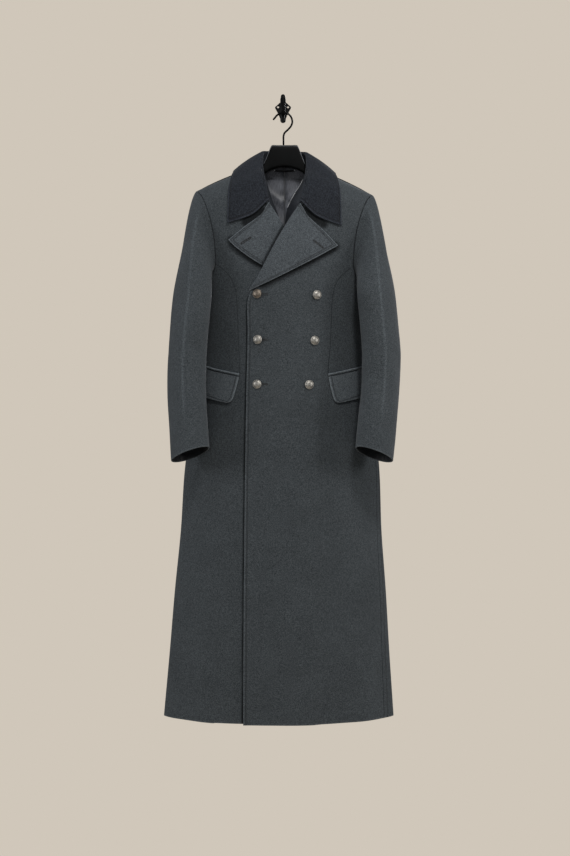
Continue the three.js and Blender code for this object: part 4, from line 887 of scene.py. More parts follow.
def shade_beside(line, x, z, full, gone):
    """Distance for painted shade, dark as at a seam: 0 up to full mm from a line, out of reach at gone mm."""
    line = np.array(line, float)
    first, last = line[:-1], line[1:]
    run = last - first
    place = np.stack([x, z], -1)[..., None, :]
    share = np.clip(((place - first) * run).sum(-1) / (run * run).sum(-1), 0, 1)
    away = np.linalg.norm(place - (first + share[..., None] * run), axis=-1).min(-1)
    return SEAM_REACH * np.maximum(0, away - full) / (gone - full)


def painted_shade_under_lapel(kind, turn, z):
    """Painted shade on a front below its lapel's lower edge, and in the notch under the collar's end."""
    x = front_x(turn, z)
    edge = shade_beside(lapel_lower_edge(kind, np.linspace(0.15, 1, 14)), x, z, *UNDER_LAPEL_PAINTED_SHADE)
    return np.minimum(edge, shade_beside(NOTCH_SHADE, x, z, *IN_NOTCH_PAINTED_SHADE))


def painted_shade_beside_overlap(turn, z):
    """Distance for painted shade beside the top front's edge: 0 a little beyond it, growing at half speed."""
    beyond = np.abs(top_edge_x(z) - front_x(turn, z))
    return np.where(z < OVERLAP_TOP_Z, OVERLAP_GROWTH * np.maximum(0, beyond - OVERLAP_PAINTED_SHADE), FAR)


SEAMS = (EDGE_SEAM,) * 4
turn, z, keep = front_grid(0, -TIP_X)
# The top front gets painted shade below its lapel and in the notch under the collar's end.
top_front = body_panel("top_front", turn, z, curled_lift, (EDGE_FREE, EDGE_SEAM, EDGE_SEAM, EDGE_FREE), keep,
                       stitch=(EDGE_ROW, 0, 0, 0), inside=facing_or_lining,
                       valley=painted_shade_under_lapel("top", turn, z))
lift = curled_lift(turn, z)
top_front_form = body(turn, z, -lift), body(turn, z, WOOL - lift)
top_front_keep = keep
dress(top_front, "front_left")
turn, z, keep = front_grid(UNDER_FRONT_SHORTER, UNDER_EDGE_X)
# painted shade on the under front: beside the top front's edge and below its own lapel
dark = np.minimum(painted_shade_beside_overlap(-turn, z), painted_shade_under_lapel("under", turn, z))
under_front = body_panel("under_front", -turn, z, no_lift,
                         (EDGE_FREE, EDGE_HIDDEN_SEAM, EDGE_SEAM, EDGE_FREE),
                         keep, stitch=(EDGE_ROW, 0, 0, 0), inside=facing_or_lining, valley=dark)
dress(under_front, "front_right")

# %% [markdown]
# ## Side bodies and backs
# The side body fills the space between four known curves, so it is a Coons patch: the blend of
# the two pairs of opposite edges, less the plane of the corners. The back fans out from the
# centre seam; its first rows follow the curved neck and the sloping shoulder, and fade into level
# rows further down.

# %% Side bodies


def side_grid():
    """Coons patch between the princess seam, the armhole, the side seam and the pocket line."""
    rows = UPPER_ROWS[UPPER_ROWS >= ARMHOLE_ROWS]
    columns = stations(95, 6.5)
    princess = front_outer(rows)
    seam_z = along(np.array(SIDE_BODY_Z, float)[:, None], rows - ARMHOLE_ROWS)[:, 0]
    seam = np.stack([side_seam_turn(seam_z), seam_z], -1)
    top = armhole(ARMHOLE_ROWS + (len(ARMHOLE_SIDE) + 1) * columns)
    low = mix(princess[-1], seam[-1], columns[:, None])
    u, v = columns[None, :, None], ((rows - ARMHOLE_ROWS) / (POCKET_ROW - ARMHOLE_ROWS))[:, None, None]
    flat = mix(mix(princess[0], seam[0], columns[:, None])[None], low[None], v)
    grid = mix(princess[:, None], seam[:, None], u) + mix(top[None], low[None], v) - flat
    return grid[..., 0], grid[..., 1]


def all_lined(gaps):
    """Inside a side body: satin all over."""
    return np.ones(gaps[0][:-1, :-1].shape, int)


turn, z = side_grid()
for side, word in ((1, "left"), (-1, "right")):
    made = body_panel(f"side_body_{word}", side * turn, z, no_lift, SEAMS, inside=all_lined)
    dress(made, f"side_{word}")

# %% Backs
BACK_MIDDLE_Z = [-143, -149, -157, -170, -190, -222, -262, -304, -345, -385, -420, -436, -456, -484, -516,
                 -562, -622, -690, -765, -850, -950, -1060, -1180, -1310, HEM_Z]
NECK_FACES, SHOULDER_FACES, FADE_ROWS = 3, 5, 6
ARM_ROWS, ARM_STEP = 10, 0.34
NECK_STRIP, SIDE_SEAM_ROW = 4, 11


def back_neck(share):
    """Turn and height across the back's neck: a parabola from the centre seam to the shoulder."""
    neck_turn = 2 - float(front_turn(NECK_X, NECK_Z))
    return np.stack([mix(2, neck_turn, share), mix(BACK_MIDDLE_Z[0], NECK_Z, share ** 2)], -1)


def back_grid():
    """Each row runs from the centre seam to the armhole or side seam; the neck's and shoulder's
    shape is added to it, times a share that fades out over the first rows."""
    seam_z = np.array(SIDE_BODY_Z + SIDE_SKIRT_Z[1:], float)
    last = len(BACK_MIDDLE_Z) - 1
    walked = np.abs(np.array(BACK_MIDDLE_Z, float) - BACK_MIDDLE_Z[0])
    rows = np.interp(stations(walked[-1], 10) * walked[-1], walked, np.arange(last + 1))
    rows = np.unique(np.concatenate([rows, np.arange(0, ARM_ROWS, ARM_STEP), [ARM_ROWS]]))
    arm = armhole(len(ARMHOLE) - 1 - np.clip(rows, 0, ARM_ROWS))
    below = along(seam_z[:, None], np.clip(rows - ARM_ROWS, 0, None))[:, 0]
    outer = np.where((rows <= ARM_ROWS)[:, None], arm, np.stack([side_seam_turn(below), below], -1))
    neck = back_neck(np.arange(NECK_FACES) / NECK_FACES)
    x = mix(NECK_X, TIP_X, np.arange(SHOULDER_FACES + 1) / SHOULDER_FACES)
    top = np.concatenate([neck, np.stack([2 - front_turn(x, shoulder_z(x)), shoulder_z(x)], -1)])
    columns = stations(230, 7) * (len(top) - 1)
    corner = along(top, columns, corners=(NECK_FACES,))
    middle = along(np.array(BACK_MIDDLE_Z, float)[:, None], rows)
    u = ((2 - corner[:, 0]) / (2 - top[-1, 0]))[None]
    even = mix(u, (columns / (len(top) - 1))[None], ease(0, FADE_ROWS, rows)[:, None])
    fade = (1 - ease(0, FADE_ROWS, rows))[:, None]
    turns = mix(2, outer[:, :1], even)
    shape = corner[:, 1][None] - mix(BACK_MIDDLE_Z[0], TIP_Z, u)
    return turns, mix(middle, outer[:, 1:], even) + shape * fade


def lined_above_the_hem(gaps):
    """Inside a back: satin, but for the wool turned up at the hem and a strip at the top."""
    return ((gaps[3] > HEM_FACING) & (gaps[2] > NECK_STRIP))[:-1, :-1].astype(int)


turn, z = back_grid()
back_left_form = body(turn, z, 0.0), body(turn, z, WOOL)
back_left = body_panel("back_left_panel", turn, z, no_lift, (EDGE_SEAM, EDGE_SEAM, EDGE_SEAM, EDGE_FREE),
                       stitch=(0, SIDE_SEAM_ROW, 0, 0), inside=lined_above_the_hem)
dress(back_left, "back_left")
back_right = body_panel("back_right_panel", -turn, z, no_lift,
                        (EDGE_SEAM, EDGE_HIDDEN_SEAM, EDGE_SEAM, EDGE_FREE),
                        inside=lined_above_the_hem)
dress(back_right, "back_right")

# %% [markdown]
# ## Sleeves
# A coat sleeve is cut in two pieces, a wide one on top and a narrow one under the arm. It leaves
# the armhole in the direction the cap is eased into, turns down, and becomes a leaning oval tube
# that bends forward at the elbow. The grid has one line for each place round the armhole: a curve
# from the seam to the first level cut, then level cuts down to the slanting cuff. A pressed ridge
# runs down each sleeve, and soft hollows are placed at the elbow, uneven from side to side.

# %% Sizes of the sleeves
SLEEVE_CUTS = [  # height, out, forward, half width, half depth
    (-470, 213.5, -110, 42.5, 70), (-520, 218.5, -111, 43, 70), (-600, 224.8, -116, 43, 67),
    (-680, 223.5, -125, 42.5, 64), (-760, 216.5, -138, 42.5, 60), (-832, 210, -151, 42.5, 56),
]
SLEEVE_TOP_Z, SLEEVE_END_Z = -470, -832
SLEEVE_TWIST, CUFF_RISE_IN, CUFF_RISE_FORE = math.radians(18), 0.32, 0.2
FRONT_SLEEVE_SEAM, BACK_SLEEVE_SEAM, CAP_MARKS = 9, 15, 21
# for each armhole mark: place round the sleeve, how sharply the cloth turns away, how far it runs
CAP = np.array([
    (8, 12, 45), (20, 12, 45), (33, 13, 50), (47, 14, 60), (68, 18, 80), (90, 25, 90), (112, 38, 80),
    (135, 60, 60), (157, 85, 50), (180, 105, 50), (202, 114, 55), (223, 112, 65), (240, 102, 60),
    (255, 90, 50), (271, 72, 55), (287, 50, 80), (303, 36, 90), (318, 26, 80), (333, 18, 60),
    (346, 14, 50), (357, 12, 45)], dtype=float)
SLEEVE_CREASES = [  # side, place round, height, width round, width in height, slant, height of the ridge
    (1, 100, -590, 26, 16, 0.5, -2.2), (1, 128, -640, 24, 14, -0.4, 1.8), (1, 84, -665, 30, 14, 0.3, -1.6),
    (1, 70, -520, 22, 26, -0.8, 1.3), (1, 20, -610, 24, 20, 0.4, -1.4), (1, 115, -740, 26, 18, 0.3, -1.2),
    (-1, 96, -600, 28, 17, -0.5, -2.0), (-1, 126, -555, 24, 14, 0.5, 1.6), (-1, 80, -680, 26, 15, -0.3, -1.8),
    (-1, 66, -540, 20, 28, 0.8, 1.2), (-1, 24, -640, 24, 18, -0.4, -1.3), (-1, 110, -760, 28, 16, 0.2, -1.1),
]
RIDGE_AT, RIDGE_HIGH, RIDGE_WIDE = 55, 4.2, 10  # the pressed ridge: place round, height and width
print("the sleeve's oval at the cuff is", 2 * SLEEVE_CUTS[-1][3], "by", 2 * SLEEVE_CUTS[-1][4], "mm")

# %% Sleeve form


def sleeve_cut(round_at, z, depth):
    """A point on the leaning oval at a level: centre, plus the half widths turned by the twist."""
    spread = (off_table(SLEEVE_CUTS, 3, z) - depth) * np.cos(np.radians(round_at))
    fore = (off_table(SLEEVE_CUTS, 4, z) - depth) * np.sin(np.radians(round_at))
    c, s = math.cos(SLEEVE_TWIST), math.sin(SLEEVE_TWIST)
    return (off_table(SLEEVE_CUTS, 1, z) + spread * c - fore * s,
            off_table(SLEEVE_CUTS, 2, z) - spread * s - fore * c)


def unit(v):
    """A vector over its own length."""
    return v / np.maximum(1e-9, np.linalg.norm(v, axis=-1, keepdims=True))


def sleeve_grids(side, marks, rows_cap, rows_tube):
    """Outside and inside of one sleeve at fractional armhole marks, which may run past the end."""
    wrapped = np.mod(marks, CAP_MARKS)
    cap = np.vstack([CAP[-2:] - [360, 0, 0], CAP, CAP[:3] + [360, 0, 0]])
    look = along(cap, wrapped + 2, keys=np.arange(len(cap), dtype=float))
    round_at, away, run = look[:, 0], np.radians(look[:, 1]), look[:, 2]
    at = armhole(wrapped)

    def on(turn, z):
        """A point of the body on the sleeve's own side."""
        return body(side * turn, z)

    seam = on(at[:, 0], at[:, 1])
    ahead, behind = armhole(np.mod(wrapped + 0.2, CAP_MARKS)), armhole(np.mod(wrapped - 0.2, CAP_MARKS))
    direction = unit(on(ahead[:, 0], ahead[:, 1]) - on(behind[:, 0], behind[:, 1]))
    normal = unit(np.cross(on(at[:, 0] + 0.02, at[:, 1]) - on(at[:, 0] - 0.02, at[:, 1]),
                           on(at[:, 0], at[:, 1] - 2) - on(at[:, 0], at[:, 1] + 2)))
    outward = seam - np.stack([np.full(len(seam), CLOTH_X), np.full(len(seam), float(RIDGE_Y)),
                               at[:, 1] - 40], -1)
    normal *= np.where((normal * outward).sum(-1) < 0, -1, 1)[:, None]
    centre = body(side * ARMHOLE[:CAP_MARKS, 0], ARMHOLE[:CAP_MARKS, 1]).mean(0) + [side * 25, 0, 0]
    into = unit(np.cross(normal, direction))
    into *= np.where((into * (centre - seam)).sum(-1) > 0, -1, 1)[:, None]
    cos, sin = np.cos(away)[:, None], np.sin(away)[:, None]
    heading, facing = -into * cos + normal * sin, normal * cos + into * sin
    start = seam + (-into * np.cos(away / 2)[:, None] + normal * np.sin(away / 2)[:, None]) * 0.3

    def ring(z, depth):
        """Level cuts of the tube; further down they tilt until the cuff slants."""
        x, y = sleeve_cut(round_at[None], z, depth)
        share = ease(SLEEVE_TOP_Z, SLEEVE_END_Z, z)
        rise = (CUFF_RISE_IN * (off_table(SLEEVE_CUTS, 1, z) - x)
                + CUFF_RISE_FORE * (off_table(SLEEVE_CUTS, 2, z) - y))
        return hang(np.stack([side * x, y, z + rise * share], -1))

    def layer(depth):
        """One face of the cloth: a cubic from the seam to the first level cut, then the level cuts."""
        t = rows_cap[:, None, None]
        goal = ring(np.full((1, len(marks)), float(SLEEVE_TOP_Z)), depth)[0]
        below = ring(np.full((1, len(marks)), SLEEVE_TOP_Z - 10.0), depth)[0]
        origin = start - facing * depth
        drop = unit(below - goal) * np.linalg.norm(goal - origin, axis=-1, keepdims=True)
        head = cubic(origin, goal, heading * run[:, None], drop, t)
        tube = ring(rows_tube[:, None].repeat(len(marks), 1), depth)
        return np.concatenate([head, tube])

    outer, inner = layer(0.0), layer(WOOL)
    heights = np.concatenate([outer[:len(rows_cap), :, 2], rows_tube[:, None].repeat(len(marks), 1)])
    swell = np.zeros(heights.shape)
    turns = round_at[None]
    ridge_at = RIDGE_AT + 4 * ease(-300, -700, heights)
    below_the_cap = ease(-225, -290, heights)
    ridge = RIDGE_HIGH * np.exp(-np.sqrt((turns - ridge_at) ** 2 + 3) / RIDGE_WIDE) * below_the_cap
    ridge *= mix(1, 0.35, ease(-560, -800, heights))
    for who, at_round, at_z, wide, tall, slant, high in SLEEVE_CREASES:
        if who == side:
            apart = turns - at_round
            swell += high * np.exp(-(apart / wide) ** 2 - ((heights - at_z - slant * apart) / tall) ** 2)
    fade = ease(0, 0.25, np.concatenate([rows_cap, np.full(len(rows_tube), 1.0)]))[:, None]
    waves = 0.5 * np.sin(turns / 19 + heights / 47) + 0.4 * np.sin(turns / 31 - heights / 29 + side)
    shift = unit(outer - inner) * ((swell + ridge + waves) * fade)[..., None]
    # distance for a painted highlight along the pressed ridge: half the true distance, so the pale band is
    # wide, and further off over the cap and towards the cuff
    ridge_highlight = 1.1 + np.abs(turns - ridge_at) * 0.5 + 6 * (1 - below_the_cap) + 2.2 * ease(-700, -800, heights)
    return outer + shift, inner + shift, ridge_highlight


print("the sleeve's foremost point at -700:", np.round(sleeve_cut(90.0, np.array([-700.0]), 0), 1).ravel())

# %% Sleeves
CAP_STEPS = np.concatenate([np.array([0, 0.3, 0.9, 2, 4]) / 150, np.linspace(0.05, 1, 22)[:-1]])
CUFF_STEPS = np.array([3, 1.5, 0.7, 0.25, 0]) / (SLEEVE_TOP_Z - SLEEVE_END_Z)
TUBE_STEPS = mix(SLEEVE_TOP_Z, SLEEVE_END_Z, np.concatenate([np.linspace(0, 0.985, 44), 1 - CUFF_STEPS]))
CUFF_TURNED_IN, MARK_APART = 3, 12.5


def lined_above_the_cuff(gaps):
    """Inside a sleeve: dark satin, but for a narrow strip of wool at the cuff."""
    return (gaps[3][:-1, :-1] > CUFF_TURNED_IN).astype(int)


def mark_stations(first, last, step):
    """Fractional armhole marks from first to last, a step in mm apart and closer at the ends."""
    return first + stations(MARK_APART * (last - first), step) * (last - first)


SLEEVE_PARTS = (("top", mark_stations(BACK_SLEEVE_SEAM, CAP_MARKS + FRONT_SLEEVE_SEAM, 3.4)),
                ("under", mark_stations(FRONT_SLEEVE_SEAM, BACK_SLEEVE_SEAM, 3.4)))
for side, word in ((1, "left"), (-1, "right")):
    for part, marks in SLEEVE_PARTS:
        outer, inner, ridge_highlight = sleeve_grids(side, marks, CAP_STEPS, TUBE_STEPS)
        made = sewn(f"sleeve_{part}_piece_{word}", outer, inner, (EDGE_SEAM, EDGE_SEAM, EDGE_SEAM, EDGE_FREE),
                    [coat_wool, sleeve_satin], inside=lined_above_the_cuff,
                    ridge_highlight=ridge_highlight if part == "top" else None)
        dress(made, f"sleeve_{part}_{word}")

# %% [markdown]
# ## Lapels
# A lapel is the front's own cloth and facing, turned out along the roll line. Four curves bound
# it: the roll line, the edge up to the notch, the short end, and the long lower edge. A Coons
# patch fills them, and its first columns go round a half circle, so that the roll is soft and
# not folded flat.

# %% Lapels
LAPEL_THICK, LAPEL_GAP = 4, 1.5
LAPEL_BELLY, LAPEL_RIPPLE, LAPEL_STANDS_OFF = 1.6, 0.5, 6.5
ROLL_ROWS = np.array([11, 10, 9, 8, 7, 6, 5.074])
ROLL_COLUMNS, ROLL_START = 12, WOOL - 0.5


def lapel_place(kind, u, v):
    """Coons patch in x and z; the lower edge is a parabola through its bend."""
    marks = np.interp(v * (len(ROLL_ROWS) - 1), np.arange(len(ROLL_ROWS)), ROLL_ROWS)
    roll = front_inner(marks)
    roll = roll + (np.array(LAPEL_BREAK) - front_inner(np.array([11.0]))[0]) * (1 - ease(0, 0.2, v))[:, None]
    point, notch, apex, start = (
        np.array(p, float) for p in (LAPEL_POINT[kind], LAPEL_NOTCH, LAPEL_APEX, LAPEL_BREAK))
    w = u[:, None]
    lower = lapel_lower_edge(kind, u)
    upper = mix(apex, notch, w)
    end = mix(point, notch, v[:, None])
    corners = mix(mix(start, point, w)[None], upper[None], v[:, None, None])
    across = mix(roll[:, None], end[:, None], w[None])
    return mix(lower[None], upper[None], v[:, None, None]) + across - corners


def lapel_grids(side, kind, lift):
    """Roll columns turn from the front's inside to the lapel's top, then the flat columns follow."""
    v, u = stations(270, 5), stations(150, 5, start=False)[1:]
    flat = lapel_place(kind, np.concatenate([[0], u]), v)
    toward = unit(flat[:, 0] - lapel_place(kind, np.array([0.2]), v)[:, 0])
    bend = np.linspace(0.10, 1, ROLL_COLUMNS) * math.pi
    aside = 1 + 2.4 * np.sin(bend)
    x_z = np.concatenate([flat[:, :1] + toward[:, None] * aside[None, :, None], flat[:, 1:]], 1)
    inside_roll = np.repeat(flat[:, :1] + toward[:, None] * 0.95, ROLL_COLUMNS, 1)
    belly = LAPEL_BELLY * np.sin(math.pi * v)[:, None] * np.sin(math.pi * u)[None]
    belly += LAPEL_RIPPLE * np.sin(u * 9 + 1)[None] * np.sin(v * 11)[:, None]
    belly += LAPEL_STANDS_OFF * ease(0.3, 1, u)[None] * (1 - ease(0.45, 0.9, v))[:, None]
    belly = np.concatenate([np.zeros((len(v), ROLL_COLUMNS)), belly], 1)

    def depth_to(last):
        """From inside the front round a half circle to the last depth, less the belly."""
        roll = ROLL_START + (last - ROLL_START) * (1 - np.cos(bend)) / 2
        return np.concatenate([roll, np.full(len(u), last)])[None] - belly

    def points(place, depth):
        """Places in x and z laid on the body at a depth, over whatever lifts the front there."""
        turn = front_turn(side * place[..., 0], place[..., 1])
        return body(turn, place[..., 1], depth - lift(turn, place[..., 1]))

    return (points(x_z, depth_to(-LAPEL_GAP - LAPEL_THICK)),
            points(np.concatenate([inside_roll, flat[:, 1:]], 1), depth_to(-LAPEL_GAP)), x_z)


# Painted shade on the under lapel beside the top lapel's roll line: full within 2 mm, gone at 7 mm.
TOP_ROLL_BESIDE, BESIDE_ROLL_PAINTED_SHADE = front_inner(ROLL_ROWS) - [5.5, 0], (2, 7)
LAPEL_ROWS = (3.6, 8)
lapel_forms = {}
for side, kind, word, lift in ((1, "top", "left", top_lift), (-1, "under", "right", no_lift)):
    outer, inner, x_z = lapel_grids(side, kind, lift)
    lapel_forms[word] = (outer, inner)
    painted_shade_beside_roll = None
    if kind == "under":
        painted_shade_beside_roll = shade_beside(TOP_ROLL_BESIDE, -x_z[..., 0], x_z[..., 1], *BESIDE_ROLL_PAINTED_SHADE)
    first, second = ((0, row, row, row) for row in LAPEL_ROWS)
    made = sewn(f"lapel_{word}_turned", outer, inner, (EDGE_PLAIN, EDGE_FREE, EDGE_FREE, EDGE_FREE),
                [painted_light_lapel_wool], stitch=first, second=second, valley=painted_shade_beside_roll)
    dress(made, f"lapel_{word}", flat_extent(outer))

# %% [markdown]
# ## Collar
# The collar is one padded piece, run as a section along the neckline. At each place the section
# climbs the stand from the neck seam, goes round the fold in a half circle and falls to the free
# edge with a slight bow. Nine sections are known on each half, and a cubic joins them. Where the
# fall would sink into the shoulder it is eased out onto it. The thickness is laid on along the
# surface's own normals.

# %% Collar
COLLAR_THICK, COLLAR_FOLD, COLLAR_FALL_BOW, COLLAR_FOOT_GAP = 4, 3.2, 3, 0.8
COLLAR_OFF_BODY, COLLAR_OVER_ROUND = 5, 2.6
COLLAR_ROWS = np.array([  # roll line xyz, free edge xyz, direction that the fall faces
    (0, -27, -113, 0, -14, -176, 0, 1, 0.1), (19, -28, -113.5, 38, -14, -175, 0.1, 1, 0.15),
    (37, -35, -115.5, 82, -22, -171, 0.35, 0.8, 0.5), (50, -53, -121, 116, -50, -167, 0.55, 0.1, 0.83),
    (52.5, -66, -131, 121.5, -74, -177, 0.5, -0.3, 0.8), (52.5, -80, -146, 125.5, -94, -193, 0.4, -0.6, 0.65),
    (51, -98, -168, 129, -111, -216, 0.25, -0.9, 0.4), (45, -128, -207, 131, -125, -259, 0.1, -1, 0.2),
    (37, -145, -250, 132, -128, -302, 0, -1, 0.1)], dtype=float)
# the end is cut in a curve: place down the fall, drop
COLLAR_END_DIP = [(0, 0), (0.3, 11.5), (0.65, 8), (1, 0)]
COLLAR_EASE = 2.0


def middle_of_wall(turn, z):
    """The body's form half a wall in, before it hangs from the hook."""
    return body_form(turn, z, WOOL / 2)


def neckline(at):
    """Seam point at fractional stations: three across the back's neck, then the front's rows."""
    line = front_inner(np.clip(at - NECK_FACES, 0, None))
    front = np.stack([front_turn(line[:, 0], line[:, 1]), line[:, 1]], -1)
    place = np.where((at < NECK_FACES)[:, None], back_neck(np.clip(at / NECK_FACES, 0, 1)), front)
    return middle_of_wall(place[:, 0], place[:, 1])


def off_body(point, is_front):
    """Where a point would sink into the body it comes out onto it, by a soft maximum in depth."""
    drop = shoulder_z(point[..., 0]) - point[..., 2]
    round_at = np.clip(drop / SHOULDER_ROUND, 0, 1)
    clear = COLLAR_OFF_BODY + COLLAR_OVER_ROUND * 2 * np.sqrt(round_at * (1 - round_at))
    turn = front_turn(point[..., 0], point[..., 2])
    laid = body_form(np.where(is_front, turn, 2 - turn), point[..., 2], -clear)
    sign = np.where(is_front, -1.0, 1.0)
    apart = (laid[..., 1] - point[..., 1]) * sign
    push = (apart + np.sqrt(apart ** 2 + COLLAR_EASE ** 2)) / 2
    moved = point.copy()
    moved[..., 1] += np.where(drop > 0, push * ease(0, 3, drop), 0) * sign
    return moved


def collar_grid(at, down):
    """Half of the collar: one section at each station, with the fall sampled at each share down."""
    keys = np.arange(len(COLLAR_ROWS), dtype=float)
    row = along(COLLAR_ROWS, at, keys=keys)
    roll, edge, out = row[:, 0:3], row[:, 3:6], row[:, 6:9]
    seam = neckline(at)
    back_top = back_neck(np.arange(NECK_FACES + 1) / NECK_FACES)
    under_back = middle_of_wall(back_top[:, 0], back_top[:, 1] - 6)
    lines = front_inner(np.arange(1.0, 6.0))
    under_front = middle_of_wall(front_turn(lines[:, 0] + 13, lines[:, 1] - 4), lines[:, 1] - 4)
    away = unit(neckline(keys) - np.concatenate([under_back, under_front]))
    away = unit(along(away, at, keys=keys))
    up, fall_way = unit(roll - seam), unit(edge - roll)
    inside = unit(fall_way - up)
    out = unit(out - inside * (out * inside).sum(-1, keepdims=True))
    middle = roll + inside * COLLAR_FOLD
    angle = np.radians(np.linspace(-90, 90, 15))[:, None]
    fold = (middle[:, None] - inside[:, None] * COLLAR_FOLD * np.cos(angle)
            + out[:, None] * COLLAR_FOLD * np.sin(angle))
    aside = COLLAR_FOOT_GAP + COLLAR_THICK / 2 * np.linalg.norm(np.cross(away, up), axis=-1, keepdims=True)
    foot = seam + away * aside
    stand = mix(foot[:, None], fold[:, :1], np.linspace(0, 1, 9)[:-1][None, :, None])
    t = down[None, :, None]
    fall = mix(fold[:, -1:], edge[:, None], t) + out[:, None] * COLLAR_FALL_BOW * 4 * t * (1 - t)
    fall = off_body(fall, (out[:, 1] < 0)[:, None])
    fall[..., 2] -= off_table(COLLAR_END_DIP, 1, down)[None] * ease(6.9, 8, at)[:, None]
    return np.concatenate([stand, fold, fall], 1)


print("the collar's fold is", 2 * COLLAR_FOLD, "mm across")

# %% The collar's piece
END_STEPS = np.array([0.3, 0.2, 0.12, 0.07, 0.035, 0.015, 0])
LOW_EDGE_STEPS = [0.001, 0.006, 0.016, 0.035, 0.06, 0.09, 0.13, 0.17]
half_at = np.unique(np.concatenate([np.linspace(0, 7.6, 62), 8 - END_STEPS]))
half = collar_grid(half_at, 1 - np.concatenate([LOW_EDGE_STEPS, np.linspace(0.22, 0.97, 15)])[::-1])
other = half[::-1][:-1] * [-1, 1, 1]
whole = np.concatenate([other, half])
face = normals(whole) * COLLAR_THICK / 2
collar_form = hang(whole + face), hang(whole - face)
collar = sewn("collar_padded", *collar_form, (EDGE_SEAM, EDGE_FREE, EDGE_FREE, EDGE_FREE),
              [collar_wool], stitch=(0, EDGE_ROW, EDGE_ROW, EDGE_ROW))
dress(collar, "collar")

# %% [markdown]
# ## Pocket flaps and welts
# Each slanting pocket has a narrow welt above the opening and a flap that hangs over it. Both are
# made from the front's own form, moved out by their thickness. The flap's front edge leans, and
# its lower corner is rounded off.

# %% Pockets
FLAP_THICK, FLAP_SLANT, FLAP_DEEP = 3.6, 0.075, 60
WELT_THICK, WELT_HIGH, LAID_GAP = 3.4, 6, 1
POCKET_LOWER, FLAP_LONGER = 2.5, 6
FLAP_CORNER = [(1.5, 0), (14, 0), (34, 0), (52, 0.01), (58, 0.045), (60, 0.09)]  # way down, share cut off
POCKET_START, POCKET_END_IN = (101, -649), 0.02
FLAP_ROW, WELT_ROW, WELT_FLAT_DEEP = 8.5, 1.2, 0.0105


def pocket_line(side, u, down):
    """Turn and height at a share along the pocket's slant and a distance below it."""
    end = float(side_seam_turn(SIDE_BODY_Z[-1])) - POCKET_END_IN
    return (side * mix(float(front_turn(*POCKET_START)), end, u),
            mix(POCKET_START[1], SIDE_BODY_Z[-1], u) - down - POCKET_LOWER)


def flap_grids(side):
    """Shares run from the leaning, rounded front edge to the side seam; the low half bellies out."""
    down = mix(1.5, FLAP_DEEP, stations(58, 4))[:, None]
    start = FLAP_SLANT * down / FLAP_DEEP + off_table(FLAP_CORNER, 1, down)
    u = mix(start, 1, stations(118, 5)[None])
    turn, z = pocket_line(side, u, down * (1 + FLAP_LONGER / FLAP_DEEP))
    belly = 1.3 * np.sin(math.pi * u) * ease(8, 50, down) + 0.5 * ease(40, 60, down)
    lift = FLAP_THICK + LAID_GAP
    return body(turn, z, -lift - belly), body(turn, z, FLAP_THICK - lift - belly * 0.9)


def welt_grids(side):
    """A flat strip above the pocket line."""
    down, u = mix(-WELT_HIGH, 0, stations(6, 2))[:, None], stations(118, 5)[None]
    turn, z = pocket_line(side, u, down)
    swell = 0.5 * np.sin(math.pi * (down / WELT_HIGH + 1)) * np.ones(u.shape)
    lift = WELT_THICK + LAID_GAP
    return body(turn, z, -lift - swell), body(turn, z, WELT_THICK - lift)


flap_forms = {}
for side, word in ((1, "left"), (-1, "right")):
    outer, inner = flap_grids(side)
    flap_forms[word] = (outer, inner)
    made = sewn(f"flap_{word}_sewn", outer, inner, (EDGE_FREE, EDGE_HIDDEN_SEAM, EDGE_PLAIN, EDGE_FREE),
                [painted_light_flap_wool], stitch=(EDGE_ROW, 0, 0, FLAP_ROW))
    dress(made, f"pocket_flap_{word}")
    outer, inner = welt_grids(side)
    made = sewn(f"welt_{word}_sewn", outer, inner, (EDGE_FREE,) * 4, [painted_light_flap_wool], stitch=(0, 0, 0, WELT_ROW))
    dress(made, f"pocket_welt_{word}", (made[1][0], WELT_FLAT_DEEP))

# %% [markdown]
# ## What shows in the neck
# Through the open neck one sees the lining of the back, with a seam down its centre and a yoke
# across, and the front's lining turning in along the roll line. The satin is a light grey, and it
# creases slantwise from the hanger. The creases are soft ridges added to its depth.

# %% Lining of the back
SATIN_THICK, LINING_HALF_TURN, LINING_BOTTOM_Z, YOKE_Z = 1.4, 0.27, -440, -178
LINING_CREASES = [  # turn aside, height, width, length, slant, how far it stands off the wool
    (0.05, -215, 6, 34, 0.7, 3.0), (-0.045, -225, 6, 30, -0.6, 2.7), (0.10, -240, 7, 36, 0.5, 2.8),
    (-0.10, -255, 7, 38, -0.5, 3.0), (0.02, -270, 6, 40, 0.25, 2.0), (0.15, -200, 7, 26, 0.6, 2.2),
    (-0.16, -210, 7, 28, -0.7, 2.2),
]
TURN_MM = 230  # millimetres of satin to one quarter turn


def lining_depth(aside, z):
    """Extra depth: slanting creases, a valley at the centre seam and a small step at the yoke."""
    extra = np.zeros(aside.shape)
    for turn_at, z_at, wide, tall, slant, high in LINING_CREASES:
        x = (aside - turn_at) * TURN_MM
        away = (x * math.cos(slant) - (z - z_at) * math.sin(slant)) / wide
        down = (x * math.sin(slant) + (z - z_at) * math.cos(slant)) / tall
        extra += high * np.exp(-away ** 2 - down ** 2)
    extra += 1.6 * (1 - np.exp(-(aside * TURN_MM / 3) ** 2)) * ease(LINING_BOTTOM_Z, -420, z)
    return extra + 0.8 * ease(YOKE_Z - 1.2, YOKE_Z + 1.2, z)


